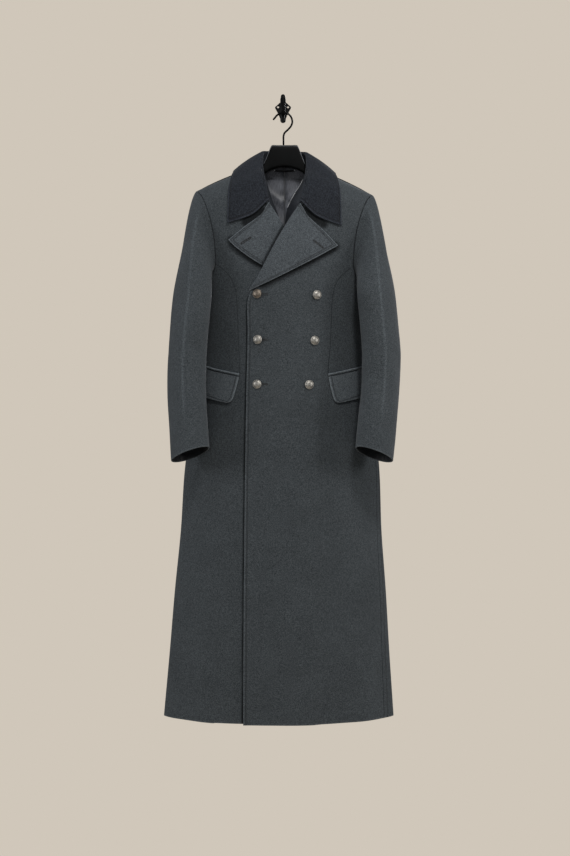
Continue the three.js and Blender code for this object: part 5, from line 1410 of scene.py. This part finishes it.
aside = mix(-LINING_HALF_TURN, LINING_HALF_TURN, stations(250, 3.2))[None]
bottom_share = stations(290, 4)[:, None]
neck = mix(BACK_MIDDLE_Z[0], NECK_Z, np.minimum(1, (aside / 0.17) ** 2)) - 4
low = np.maximum(0, np.abs(aside) - 0.12) * 190
z = mix(neck - low, LINING_BOTTOM_Z, bottom_share)
aside = aside * np.ones(z.shape)
extra = lining_depth(aside, z)
depth = WOOL + LAID_GAP + extra
outer, inner = body(2 - aside, z, depth), body(2 - aside, z, SATIN_THICK + depth)
# painted shade along the centre seam and the yoke seam
seams_of_lining = np.minimum(np.abs(aside) * TURN_MM, np.abs(z - YOKE_Z)) + 0.6
made = sewn("back_lining_satin", outer, inner, (EDGE_PLAIN,) * 4, [lining_satin], valley=seams_of_lining)
dress(made, "back_lining")

# %% Lining of the fronts in the neck
FACING_THICK, FACING_BACK, FACING_BEND, FACING_BOW = 2, 26, 0.45, 4
FACING_INNER = {"left": [(46, -178), (36, -202), (21, -228), (8, -254), (2, -286), (0, -316)],
                "right": [(-45, -178), (-40, -200), (-33, -226), (-24, -252), (-12, -284), (-3, -314)]}


def facing_grids(side, word):
    """Each row leaves the roll line, bows forward a little and goes back into the neck."""
    v, u = stations(185, 4), stations(45, 3)
    line = front_inner(2 + 5 * v)
    x, z = side * (line[:, 0] + 8), line[:, 1] - 4
    start = body(front_turn(x, z), z, WOOL + LAID_GAP)
    inset = along(np.array(FACING_INNER[word], float), 5 * v)
    finish_line = hang(np.stack([inset[:, 0], start[:, 1] + FACING_BACK, inset[:, 1]], -1))
    bend = mix(start, finish_line, FACING_BEND) - [0, FACING_BOW, 0]
    marks = np.stack([start, bend, finish_line])
    grid = along(marks, 2 * u, keys=np.arange(3.0)).transpose(1, 0, 2)
    fold = 0.7 * np.sin(v * 17)[:, None] * np.sin(math.pi * u)[None]
    grid = grid + np.stack([fold * side, np.zeros(fold.shape), np.zeros(fold.shape)], -1)
    return grid, grid + [side * 0.4, FACING_THICK, 0]


# The facings are made of the darker satin: painted shade inside the neck.
facing_forms = {}
for side, word in ((1, "left"), (-1, "right")):
    outer, inner = facing_grids(side, word)
    made = sewn(f"neck_facing_{word}_satin", outer, inner, (EDGE_PLAIN, EDGE_FREE, EDGE_PLAIN, EDGE_PLAIN),
                [darkened_satin])
    dress(made, f"neck_facing_{word}")
    facing_forms[word] = (outer, inner)

# %% [markdown]
# ## Round things
# Buttons, the hanger, its wire, the hook's arm and the hanging loop are all closed rings of
# points joined one to the next, with a fan of triangles to close each end. Only the rings differ:
# turned round an axis for a button, carried along a path for a wire, and squarish for the hanger.

# %% Rings


def rigid_piece(name, points, faces, material):
    """A smooth mesh from points in millimetres, with its finish, riding on the one body."""
    mesh = bpy.data.meshes.new(name)
    mesh.from_pydata((points * MM).tolist(), [], faces)
    mesh.polygons.foreach_set("use_smooth", np.ones(len(faces), dtype=bool))
    mesh.materials.append(material)
    piece = bpy.data.objects.new(name, mesh)
    scene.collection.objects.link(piece)
    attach(piece, "root")
    return piece


def ring_piece(name, rings, node, material):
    """Joins rings of points, first to last, and closes the ends; the signed volume turns it out."""
    count, sides = rings.shape[:2]
    points = np.concatenate([rings.reshape(-1, 3), rings[[0, -1]].mean(1)])
    ids = np.arange(count * sides).reshape(count, sides)
    turned = np.roll(ids, -1, axis=1)
    quads = np.stack([ids[:-1], turned[:-1], turned[1:], ids[1:]], -1).reshape(-1, 4)
    low = np.stack([turned[0], ids[0], np.full(sides, count * sides)], -1)
    high = np.stack([ids[-1], turned[-1], np.full(sides, count * sides + 1)], -1)
    triangles = np.concatenate([quads[:, [0, 1, 2]], quads[:, [0, 2, 3]], low, high])
    a, b, c = (points[triangles[:, k]] for k in range(3))
    faces = quads.tolist() + low.tolist() + high.tolist()
    if np.einsum("ij,ij->i", a, np.cross(b, c)).sum() < 0:
        faces = [face[::-1] for face in faces]
    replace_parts(rigid_piece(name, points, faces, material), node)
    print(f"{name}: {count} rings of {sides} points")


def round_angles(sides):
    """Even angles round a full turn."""
    return np.linspace(0, 2 * math.pi, sides, endpoint=False)


def swept(path, across, radius, sides=24):
    """Rings round a path: one axis is given, the other is square to it and to the path."""
    ahead = unit(np.gradient(path, axis=0))
    other = unit(np.cross(ahead, across))
    angle = round_angles(sides)[None, :, None]
    radius = np.broadcast_to(radius, len(path))[:, None, None]
    return path[:, None] + (np.array(across, float) * np.cos(angle) + other[:, None] * np.sin(angle)) * radius


def rounded_ends(walked, radius):
    """Share of the full radius near both ends of a path, so that the tips are domes."""
    from_end = np.minimum(walked, walked[-1] - walked)
    inset = 1 - np.minimum(1, from_end / radius)
    return np.maximum(0.05, np.sqrt(1 - inset ** 2))


def path_through(points, step):
    """Fine points on the smooth line through the given ones, closer at both ends."""
    points = np.array(points, float)
    walked = walk(points)
    at = np.interp(stations(walked[-1], step) * walked[-1], walked, np.arange(len(points)))
    fine = along(points, at)
    return fine, walk(fine)


print("a rounded end at its tip, half way and at full radius:",
      rounded_ends(np.arange(5.0), 2.0)[:3].round(2))

# %% Buttons
BUTTON_RADIUS, BUTTON_HIGH, BUTTON_SEAT = 10.4, 6, 0.6
BUTTON_PROFILE = np.array([  # share of the radius, share of the height: shank, back, rolled rim, dome
    (0.3, 0), (0.6, 0), (0.62, 0.03), (0.62, 0.14), (0.66, 0.17), (0.90, 0.17), (0.965, 0.2), (1.0, 0.27),
    (1.0, 0.36), (0.965, 0.44), (0.92, 0.46), (0.89, 0.44), (0.875, 0.45), (0.85, 0.52), (0.79, 0.63),
    (0.70, 0.74), (0.58, 0.84), (0.44, 0.92), (0.28, 0.972), (0.13, 0.995), (0.03, 1.0)])
BUTTON_PLACES = {"1_right": (-59.2, -465), "2_right": (-59.6, -568.5), "3_right": (-58.8, -670.5),
                 "1_left": (70.6, -465), "2_left": (67.4, -570), "3_left": (57.3, -671.6)}
for word, (x, z) in BUTTON_PLACES.items():
    turn = float(front_turn(x, z))
    lift = float(top_lift(turn, z))
    seat = body(np.array(turn), np.array(float(z)), -lift - BUTTON_SEAT)
    axis = unit(body(np.array(turn), np.array(float(z)), -lift - 10) - seat)
    level = unit(np.cross(axis, [0, 0, 1]))
    angle = round_angles(48)[None, :, None]
    round_axis = level * np.cos(angle) + np.cross(axis, level) * np.sin(angle)
    rings = seat + BUTTON_PROFILE[:, 0, None, None] * BUTTON_RADIUS * round_axis + (
        BUTTON_PROFILE[:, 1, None, None] * BUTTON_HIGH * axis)
    metal = worn_metal if word == "1_right" else button_metal
    ring_piece(f"domed_button_{word}", rings, f"button_{word}", metal)

# %% Hanger


def squared(v, power):
    """A sine or cosine pushed towards a square: its sign times its size to a power."""
    return np.sign(v) * np.abs(v) ** power


HANGER_ROWS = np.array([  # x, top, bottom, half depth, how square the cut is (less is squarer)
    (0, -103, -153.7, 6.5, 0.4), (15, -103, -155.5, 6.5, 0.4), (29, -103, -159.6, 6.5, 0.4),
    (32.5, -106.5, -161, 6.5, 0.4), (41, -129, -166, 6.5, 0.4), (50, -149, -172, 7, 0.6),
    (60, -158.5, -176, 8, 0.8), (75, -159.8, -184, 8.5, 1), (110, -175.7, -203, 10.5, 1),
    (150, -193.8, -222, 10.5, 1), (190, -212, -236, 9, 1), (198, -219, -231, 6, 1)])
half_rows = along(HANGER_ROWS, np.linspace(0, len(HANGER_ROWS) - 1, 110))
rows = np.concatenate([half_rows[::-1][:-1] * [-1, 1, 1, 1, 1], half_rows])
angle = round_angles(56)[None]
x, top, bottom, deep, corner = (rows[:, k, None] for k in range(5))
lean = np.where(np.abs(x) > 45, SHOULDER_LEAN * x, 0)
rings = np.stack([x + CLOTH_X + 0 * angle, RIDGE_Y + deep * squared(np.cos(angle), corner),
                  (top + bottom) / 2 + (top - bottom) / 2 * squared(np.sin(angle), corner) - lean], -1)
ring_piece("moulded_hanger", rings, "hanger_body", hanger_plastic)
# the row that carries the painted highlight dashes
hanger_rim = rings[np.abs(rows[:, 0]) < 48.5, 20]  # along the front, just below the top

# %% Wire, arm and loop
WIRE_RADIUS, ARM_RADIUS, LOOP_RADIUS, LOOP_Y, LOOP_Z, LOOP_LENGTH = 2.25, 4.7, 2.2, -34.6, -159, 49
WIRE_ROUTE = [(-2.3, -102.6), (-2.3, -92), (-2.3, -82), (0, -74), (8.8, -65.3), (15.6, -57),
              (18.5, -47.3), (16.1, -37), (10.9, -30.3), (4.5, -26.6), (-2.3, -25.7), (-11, -27.6),
              (-18.2, -32.4), (-22.8, -38), (-27.2, -43)]
path, walked = path_through([(x + CLOTH_X, RIDGE_Y, z) for x, z in WIRE_ROUTE], 1.6)
rings = swept(path, (0, 1, 0), WIRE_RADIUS * rounded_ends(walked, WIRE_RADIUS))
ring_piece("bent_hanger_wire", rings, "hanger_wire", enamelled_iron)
ARM_ROUTE = np.array([(-4.4, -33, 1), (-20, -33, 1), (-52, -33, 1), (-63, -32.6, 1), (-69.5, -29, 1.05),
                      (-72.5, -22, 1.1), (-73, -12, 1.15), (-73, 0, 1.15), (-73, 7, 1.12),
                      (-73, 10.5, 0.85), (-73, 12, 0.4)])
fine, walked = path_through(np.column_stack([np.zeros(len(ARM_ROUTE)), ARM_ROUTE]), 2.2)
rings = swept(fine[:, :3], (1, 0, 0), ARM_RADIUS * fine[:, 3], 32)
ring_piece("cast_hook_arm", rings, "hook_arm", enamelled_iron)
t = mix(-1, 1, stations(LOOP_LENGTH, 1.2))
free = 1 - t * t
path = np.stack([CLOTH_X + LOOP_LENGTH / 2 * t, LOOP_Y - 1.5 * free, LOOP_Z - 1.2 * free], -1)
rings = swept(path, (0, 0, 1), LOOP_RADIUS * rounded_ends(walk(path), 1.0), 20)
ring_piece("hanging_loop_strip", rings, "hanging_loop", darkened_satin)
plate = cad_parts["hook_plate"]
plate.data.materials.clear()
plate.data.materials.append(enamelled_iron)

# %% [markdown]
# ## Stitches and buttonholes
# Topstitching is a row of short raised dashes, about eight to the inch, that runs a set distance
# inside an edge. The distance is measured along the cloth's own grid, so the row follows every
# curve. A worked buttonhole is the same dash again, side by side round a slit.

# %% Dashes of thread
DASH_RINGS = np.array([(-1, 0.3), (-0.8, 0.8), (0, 1), (0.8, 0.8), (1, 0.3)])  # place, share of radius
DASH_SIDES = 6


def dashes(name, centres, along_it, out, length, radius, thread):
    """One small six-sided bead of thread at each centre, lying along a direction on the cloth."""
    along_it, out = unit(along_it), unit(out)
    aside = unit(np.cross(along_it, out))
    angle = round_angles(DASH_SIDES)
    ring = aside[:, None] * np.cos(angle)[None, :, None] + out[:, None] * np.sin(angle)[None, :, None]
    points = (centres[:, None, None] + along_it[:, None, None] * DASH_RINGS[None, :, :1, None] * length / 2
              + ring[:, None] * DASH_RINGS[None, :, 1, None, None] * radius)
    count, rings = len(centres), len(DASH_RINGS)
    ids = np.arange(count * rings * DASH_SIDES).reshape(count, rings, DASH_SIDES)
    turned = np.roll(ids, -1, axis=2)
    quads = np.stack([ids[:, :-1], ids[:, 1:], turned[:, 1:], turned[:, :-1]], -1).reshape(-1, 4)
    ends = np.concatenate([ids[:, 0], ids[:, -1, ::-1]])
    rigid_piece(name, points.reshape(-1, 3), quads.tolist() + ends.tolist(), thread)
    print(f"{name}: {count} dashes")


def offset_line(outer, inner, edge, offset, keep=None):
    """Points and outward directions a distance inside an edge: 0 left, 1 right, 2 top, 3 bottom."""
    keep = np.ones((outer.shape[0] - 1, outer.shape[1] - 1), bool) if keep is None else keep
    gap = np.abs(edge_distances((outer + inner) / 2, keep)[edge])
    out = unit(outer - inner)
    if edge > 1:
        outer, out, gap = outer.transpose(1, 0, 2), out.transpose(1, 0, 2), gap.T
    if edge in (1, 3):
        outer, out, gap = outer[:, ::-1], out[:, ::-1], gap[:, ::-1]
    at = np.array([np.interp(offset, row, np.arange(len(row))) for row in np.maximum.accumulate(gap, 1)])
    low = np.clip(np.floor(at).astype(int), 0, gap.shape[1] - 2)
    share, lines = (at - low)[:, None], np.arange(len(at))
    return (mix(outer[lines, low], outer[lines, low + 1], share),
            mix(out[lines, low], out[lines, low + 1], share))


def at_distances(values, walked, where):
    """Rows of three values read at walked distances, straight between neighbours."""
    return np.stack([np.interp(where, walked, values[:, k]) for k in range(3)], -1)


def stitched(name, outer, inner, lines, thread, slot, pitch=3.2, keep=None, radius=0.42):
    """Rows of dashes; a line gives its edge, its distance inside it and what is left at both ends."""
    centres, along_it, out = [], [], []
    for edge, offset, first, last in lines:
        points, normal = offset_line(outer, inner, edge, offset, keep)
        walked = walk(points)
        at = np.arange(first, walked[-1] - last, pitch)
        centres.append(at_distances(points, walked, at))
        along_it.append(at_distances(points, walked, at + 0.8) - at_distances(points, walked, at - 0.8))
        out.append(at_distances(normal, walked, at))
    centres, along_it, out = (np.concatenate(part) for part in (centres, along_it, out))
    dashes(name, centres - unit(out) * 0.12, along_it, out, pitch * 0.76, radius, thread)


print("each dash has", DASH_SIDES, "sides and", len(DASH_RINGS), "rings")

# %% Rows of stitches
stitched("front_edge_stitches", *top_front_form, [(0, EDGE_ROW, 345, 4)], coat_thread, "wool",
         keep=top_front_keep)
for word in ("left", "right"):
    rows = [(edge, offset, 10 if edge != 1 else offset, offset) for edge in (1, 2, 3)
            for offset in LAPEL_ROWS]
    stitched(f"lapel_stitches_{word}", *lapel_forms[word], rows, coat_thread, "wool")
    rows = [(0, EDGE_ROW, 3, 10), (3, FLAP_ROW, 9, 2)]
    stitched(f"flap_stitches_{word}", *flap_forms[word], rows, coat_thread, "wool")
rows = [(edge, EDGE_ROW, EDGE_ROW if edge == 1 else 42, EDGE_ROW) for edge in (1, 2, 3)]
stitched("collar_stitches", *collar_form, rows, collar_thread, "collar_wool")
stitched("side_seam_stitches", *back_left_form, [(1, SIDE_SEAM_ROW, 360, 4)], coat_thread, "wool")
stitched("neck_facing_piping", *facing_forms["left"], [(1, 1.6, 16, 58)], piping_cord, "satin", pitch=2.2,
         radius=1.0)
TACK_OUT, TACK_APART = 23.5, 1.2
tack = np.array([[CLOTH_X + side * TACK_OUT, LOOP_Y - 2.2, LOOP_Z + 0.4 + down]
                 for side in (-1, 1) for down in (-TACK_APART, 0, TACK_APART)])
dashes("loop_bar_tacks", tack, np.tile([1.0, 0, 0.15], (6, 1)), np.tile([0, -1.0, 0.0], (6, 1)), 3.4, 0.6,
       piping_cord)
# Pale dashes along the hanger's front rim, just below the top: a painted highlight.
walked = walk(hanger_rim)
rim = at_distances(hanger_rim, walked, np.arange(0, walked[-1], 1.6))
dashes("hanger_rim_painted_highlight", rim, np.gradient(rim, axis=0), np.tile([0, -1.0, 0], (len(rim), 1)), 2.4, 0.8,
       painted_highlight_plastic)

# %% Buttonholes
SLIT_HALF = 1.7  # half the width of the worked slit, mm


def on_surface(outer, inner, x, z):
    """The surface's point and outward direction at x and z, from its nearest grid point's plane."""
    points, out = outer.reshape(-1, 3), unit(outer - inner).reshape(-1, 3)
    near = ((points[None, :, 0] - x[:, None]) ** 2 + (points[None, :, 2] - z[:, None]) ** 2).argmin(1)
    p, n = points[near], out[near]
    return np.stack([x, p[:, 1] - (n[:, 0] * (x - p[:, 0]) + n[:, 2] * (z - p[:, 2])) / n[:, 1], z], -1), n


def buttonhole(name, outer, inner, first, last, thread):
    """Dashes stand square to a slit all round it, as they do when it is worked with twist."""
    first, last = np.array(first, float), np.array(last, float)
    way = unit(last - first)
    side_way = np.array([-way[1], way[0]])
    t = np.linspace(0, 1, 24)
    ends = np.linspace(-math.pi / 2, math.pi / 2, 7)[1:-1]
    flat, lean = [], []
    for sign in (1, -1):
        flat.append(mix(first, last, t[:, None]) + side_way * SLIT_HALF * sign)
        lean.append(np.broadcast_to(side_way * sign, (24, 2)))
    for centre, sign in ((first, -1), (last, 1)):
        fan = way * sign * np.cos(ends)[:, None] + side_way * np.sin(ends)[:, None]
        flat.append(centre + fan * SLIT_HALF)
        lean.append(fan)
    flat, lean = np.concatenate(flat), np.concatenate(lean)
    centres, out = on_surface(outer, inner, flat[:, 0], flat[:, 1])
    direction = np.stack([lean[:, 0], np.zeros(len(lean)), lean[:, 1]], -1)
    direction -= out * (direction * out).sum(-1, keepdims=True)
    dashes(name, centres + unit(out) * 0.1, direction, out, 2.4, 0.5, thread)
    # near-black dashes sunk into the slit: painted shade of the opening
    slit = mix(first, last, np.linspace(0, 1, 9)[:, None])
    centres, out = on_surface(outer, inner, slit[:, 0], slit[:, 1])
    along_it = np.gradient(centres, axis=0)
    dashes(name + "_slit", centres - unit(out) * 0.25, along_it, out, 3.4, 0.55, slit_dark)


LAPEL_HOLES = {"right": ((-94.6, -348.1), (-74.7, -335.8)), "left": ((71.3, -343.3), (91.1, -358.4))}
for word, (first, last) in LAPEL_HOLES.items():
    buttonhole(f"lapel_hole_{word}", *lapel_forms[word], first, last, hole_thread)
for word in ("1_right", "2_right", "3_right"):
    x, z = BUTTON_PLACES[word]
    buttonhole(f"front_hole_{word}", *top_front_form, (x + CLOTH_X - 4, z), (x + CLOTH_X + 19, z),
               hole_thread)

# %% [markdown]
# ## Studio
# A plain pale beige world is the background. For every ray but the camera's it is a dim sky,
# brighter above, so that hollows go dark. Five soft area lights stand in for the room: a key from
# the upper front, a little to the right, a weak one beside the camera, one at each side, which
# catches the nap along the sleeves, and one behind, for looking at the back.

# %% World and lights
BACKGROUND = "#d0c7ba"
world = bpy.data.worlds.new("pale_room")
scene.world = world
world.use_nodes = True
sky = world.node_tree
sky.nodes.clear()
direction = add_node(sky, "ShaderNodeSeparateXYZ",
                     {"Vector": add_node(sky, "ShaderNodeTexCoord").outputs["Generated"]})
height = add_node(sky, "ShaderNodeMapRange", {
    "Value": direction.outputs["Z"], "From Min": -0.6, "From Max": 1.0, "To Min": 0.02, "To Max": 0.37})
room = add_node(sky, "ShaderNodeBackground", {"Color": srgb("#e6e9ec"), "Strength": height.outputs[0]})
backdrop = add_node(sky, "ShaderNodeBackground", {"Color": srgb(BACKGROUND), "Strength": 1.0})
seen = add_node(sky, "ShaderNodeMixShader", {
    0: add_node(sky, "ShaderNodeLightPath").outputs["Is Camera Ray"], 1: room.outputs[0],
    2: backdrop.outputs[0]})
add_node(sky, "ShaderNodeOutputWorld", {"Surface": seen.outputs[0]})


def area_light(name, place, target, size, power, colour):
    """A square area light that looks at a target."""
    light = bpy.data.lights.new(name, "AREA")
    light.size, light.energy, light.color = size, power, colour
    lamp = bpy.data.objects.new(name, light)
    scene.collection.objects.link(lamp)
    lamp.location = place
    lamp.rotation_euler = (Vector(target) - Vector(place)).to_track_quat("-Z", "Y").to_euler()


area_light("key", (0.4, -1.6, 0.95), (0.0, -0.1, -0.55), 0.3, 15.5, (1.0, 0.99, 0.97))
area_light("front", (-0.3, -3.0, -0.35), (0.0, -0.1, -0.6), 0.5, 5.5, (1.0, 1.0, 1.0))
area_light("right side", (2.1, -0.9, -0.3), (0.0, -0.1, -0.6), 0.8, 13.5, (1.0, 0.99, 0.98))
area_light("left side", (-2.1, -0.9, -0.3), (0.0, -0.1, -0.6), 0.8, 12.5, (0.98, 0.99, 1.0))
area_light("behind", (0.7, 2.3, 0.9), (0.0, 0.0, -0.7), 1.0, 20, (1.0, 0.99, 0.98))
scene.view_settings.view_transform = "Standard"
print(len(bpy.data.lights), "lights of", sum(light.energy for light in bpy.data.lights), "watts")

# %% Floor
FLOOR_Z, FLOOR_HALF, FLOOR_FRONT, FLOOR_BACK = -1.86, 1.6, -3.2, 0.12
floor_mesh = bpy.data.meshes.new("studio_floor")
floor_mesh.from_pydata([(-FLOOR_HALF, FLOOR_FRONT, FLOOR_Z), (FLOOR_HALF, FLOOR_FRONT, FLOOR_Z),
                        (FLOOR_HALF, FLOOR_BACK, FLOOR_Z), (-FLOOR_HALF, FLOOR_BACK, FLOOR_Z)], [],
                        [(0, 1, 2, 3)])
floor = bpy.data.objects.new("studio_floor", floor_mesh)
scene.collection.objects.link(floor)
floor_mesh.materials.append(finish("pale_floor", BACKGROUND, 0.8)[0])
print("floor at z =", FLOOR_Z, "m")
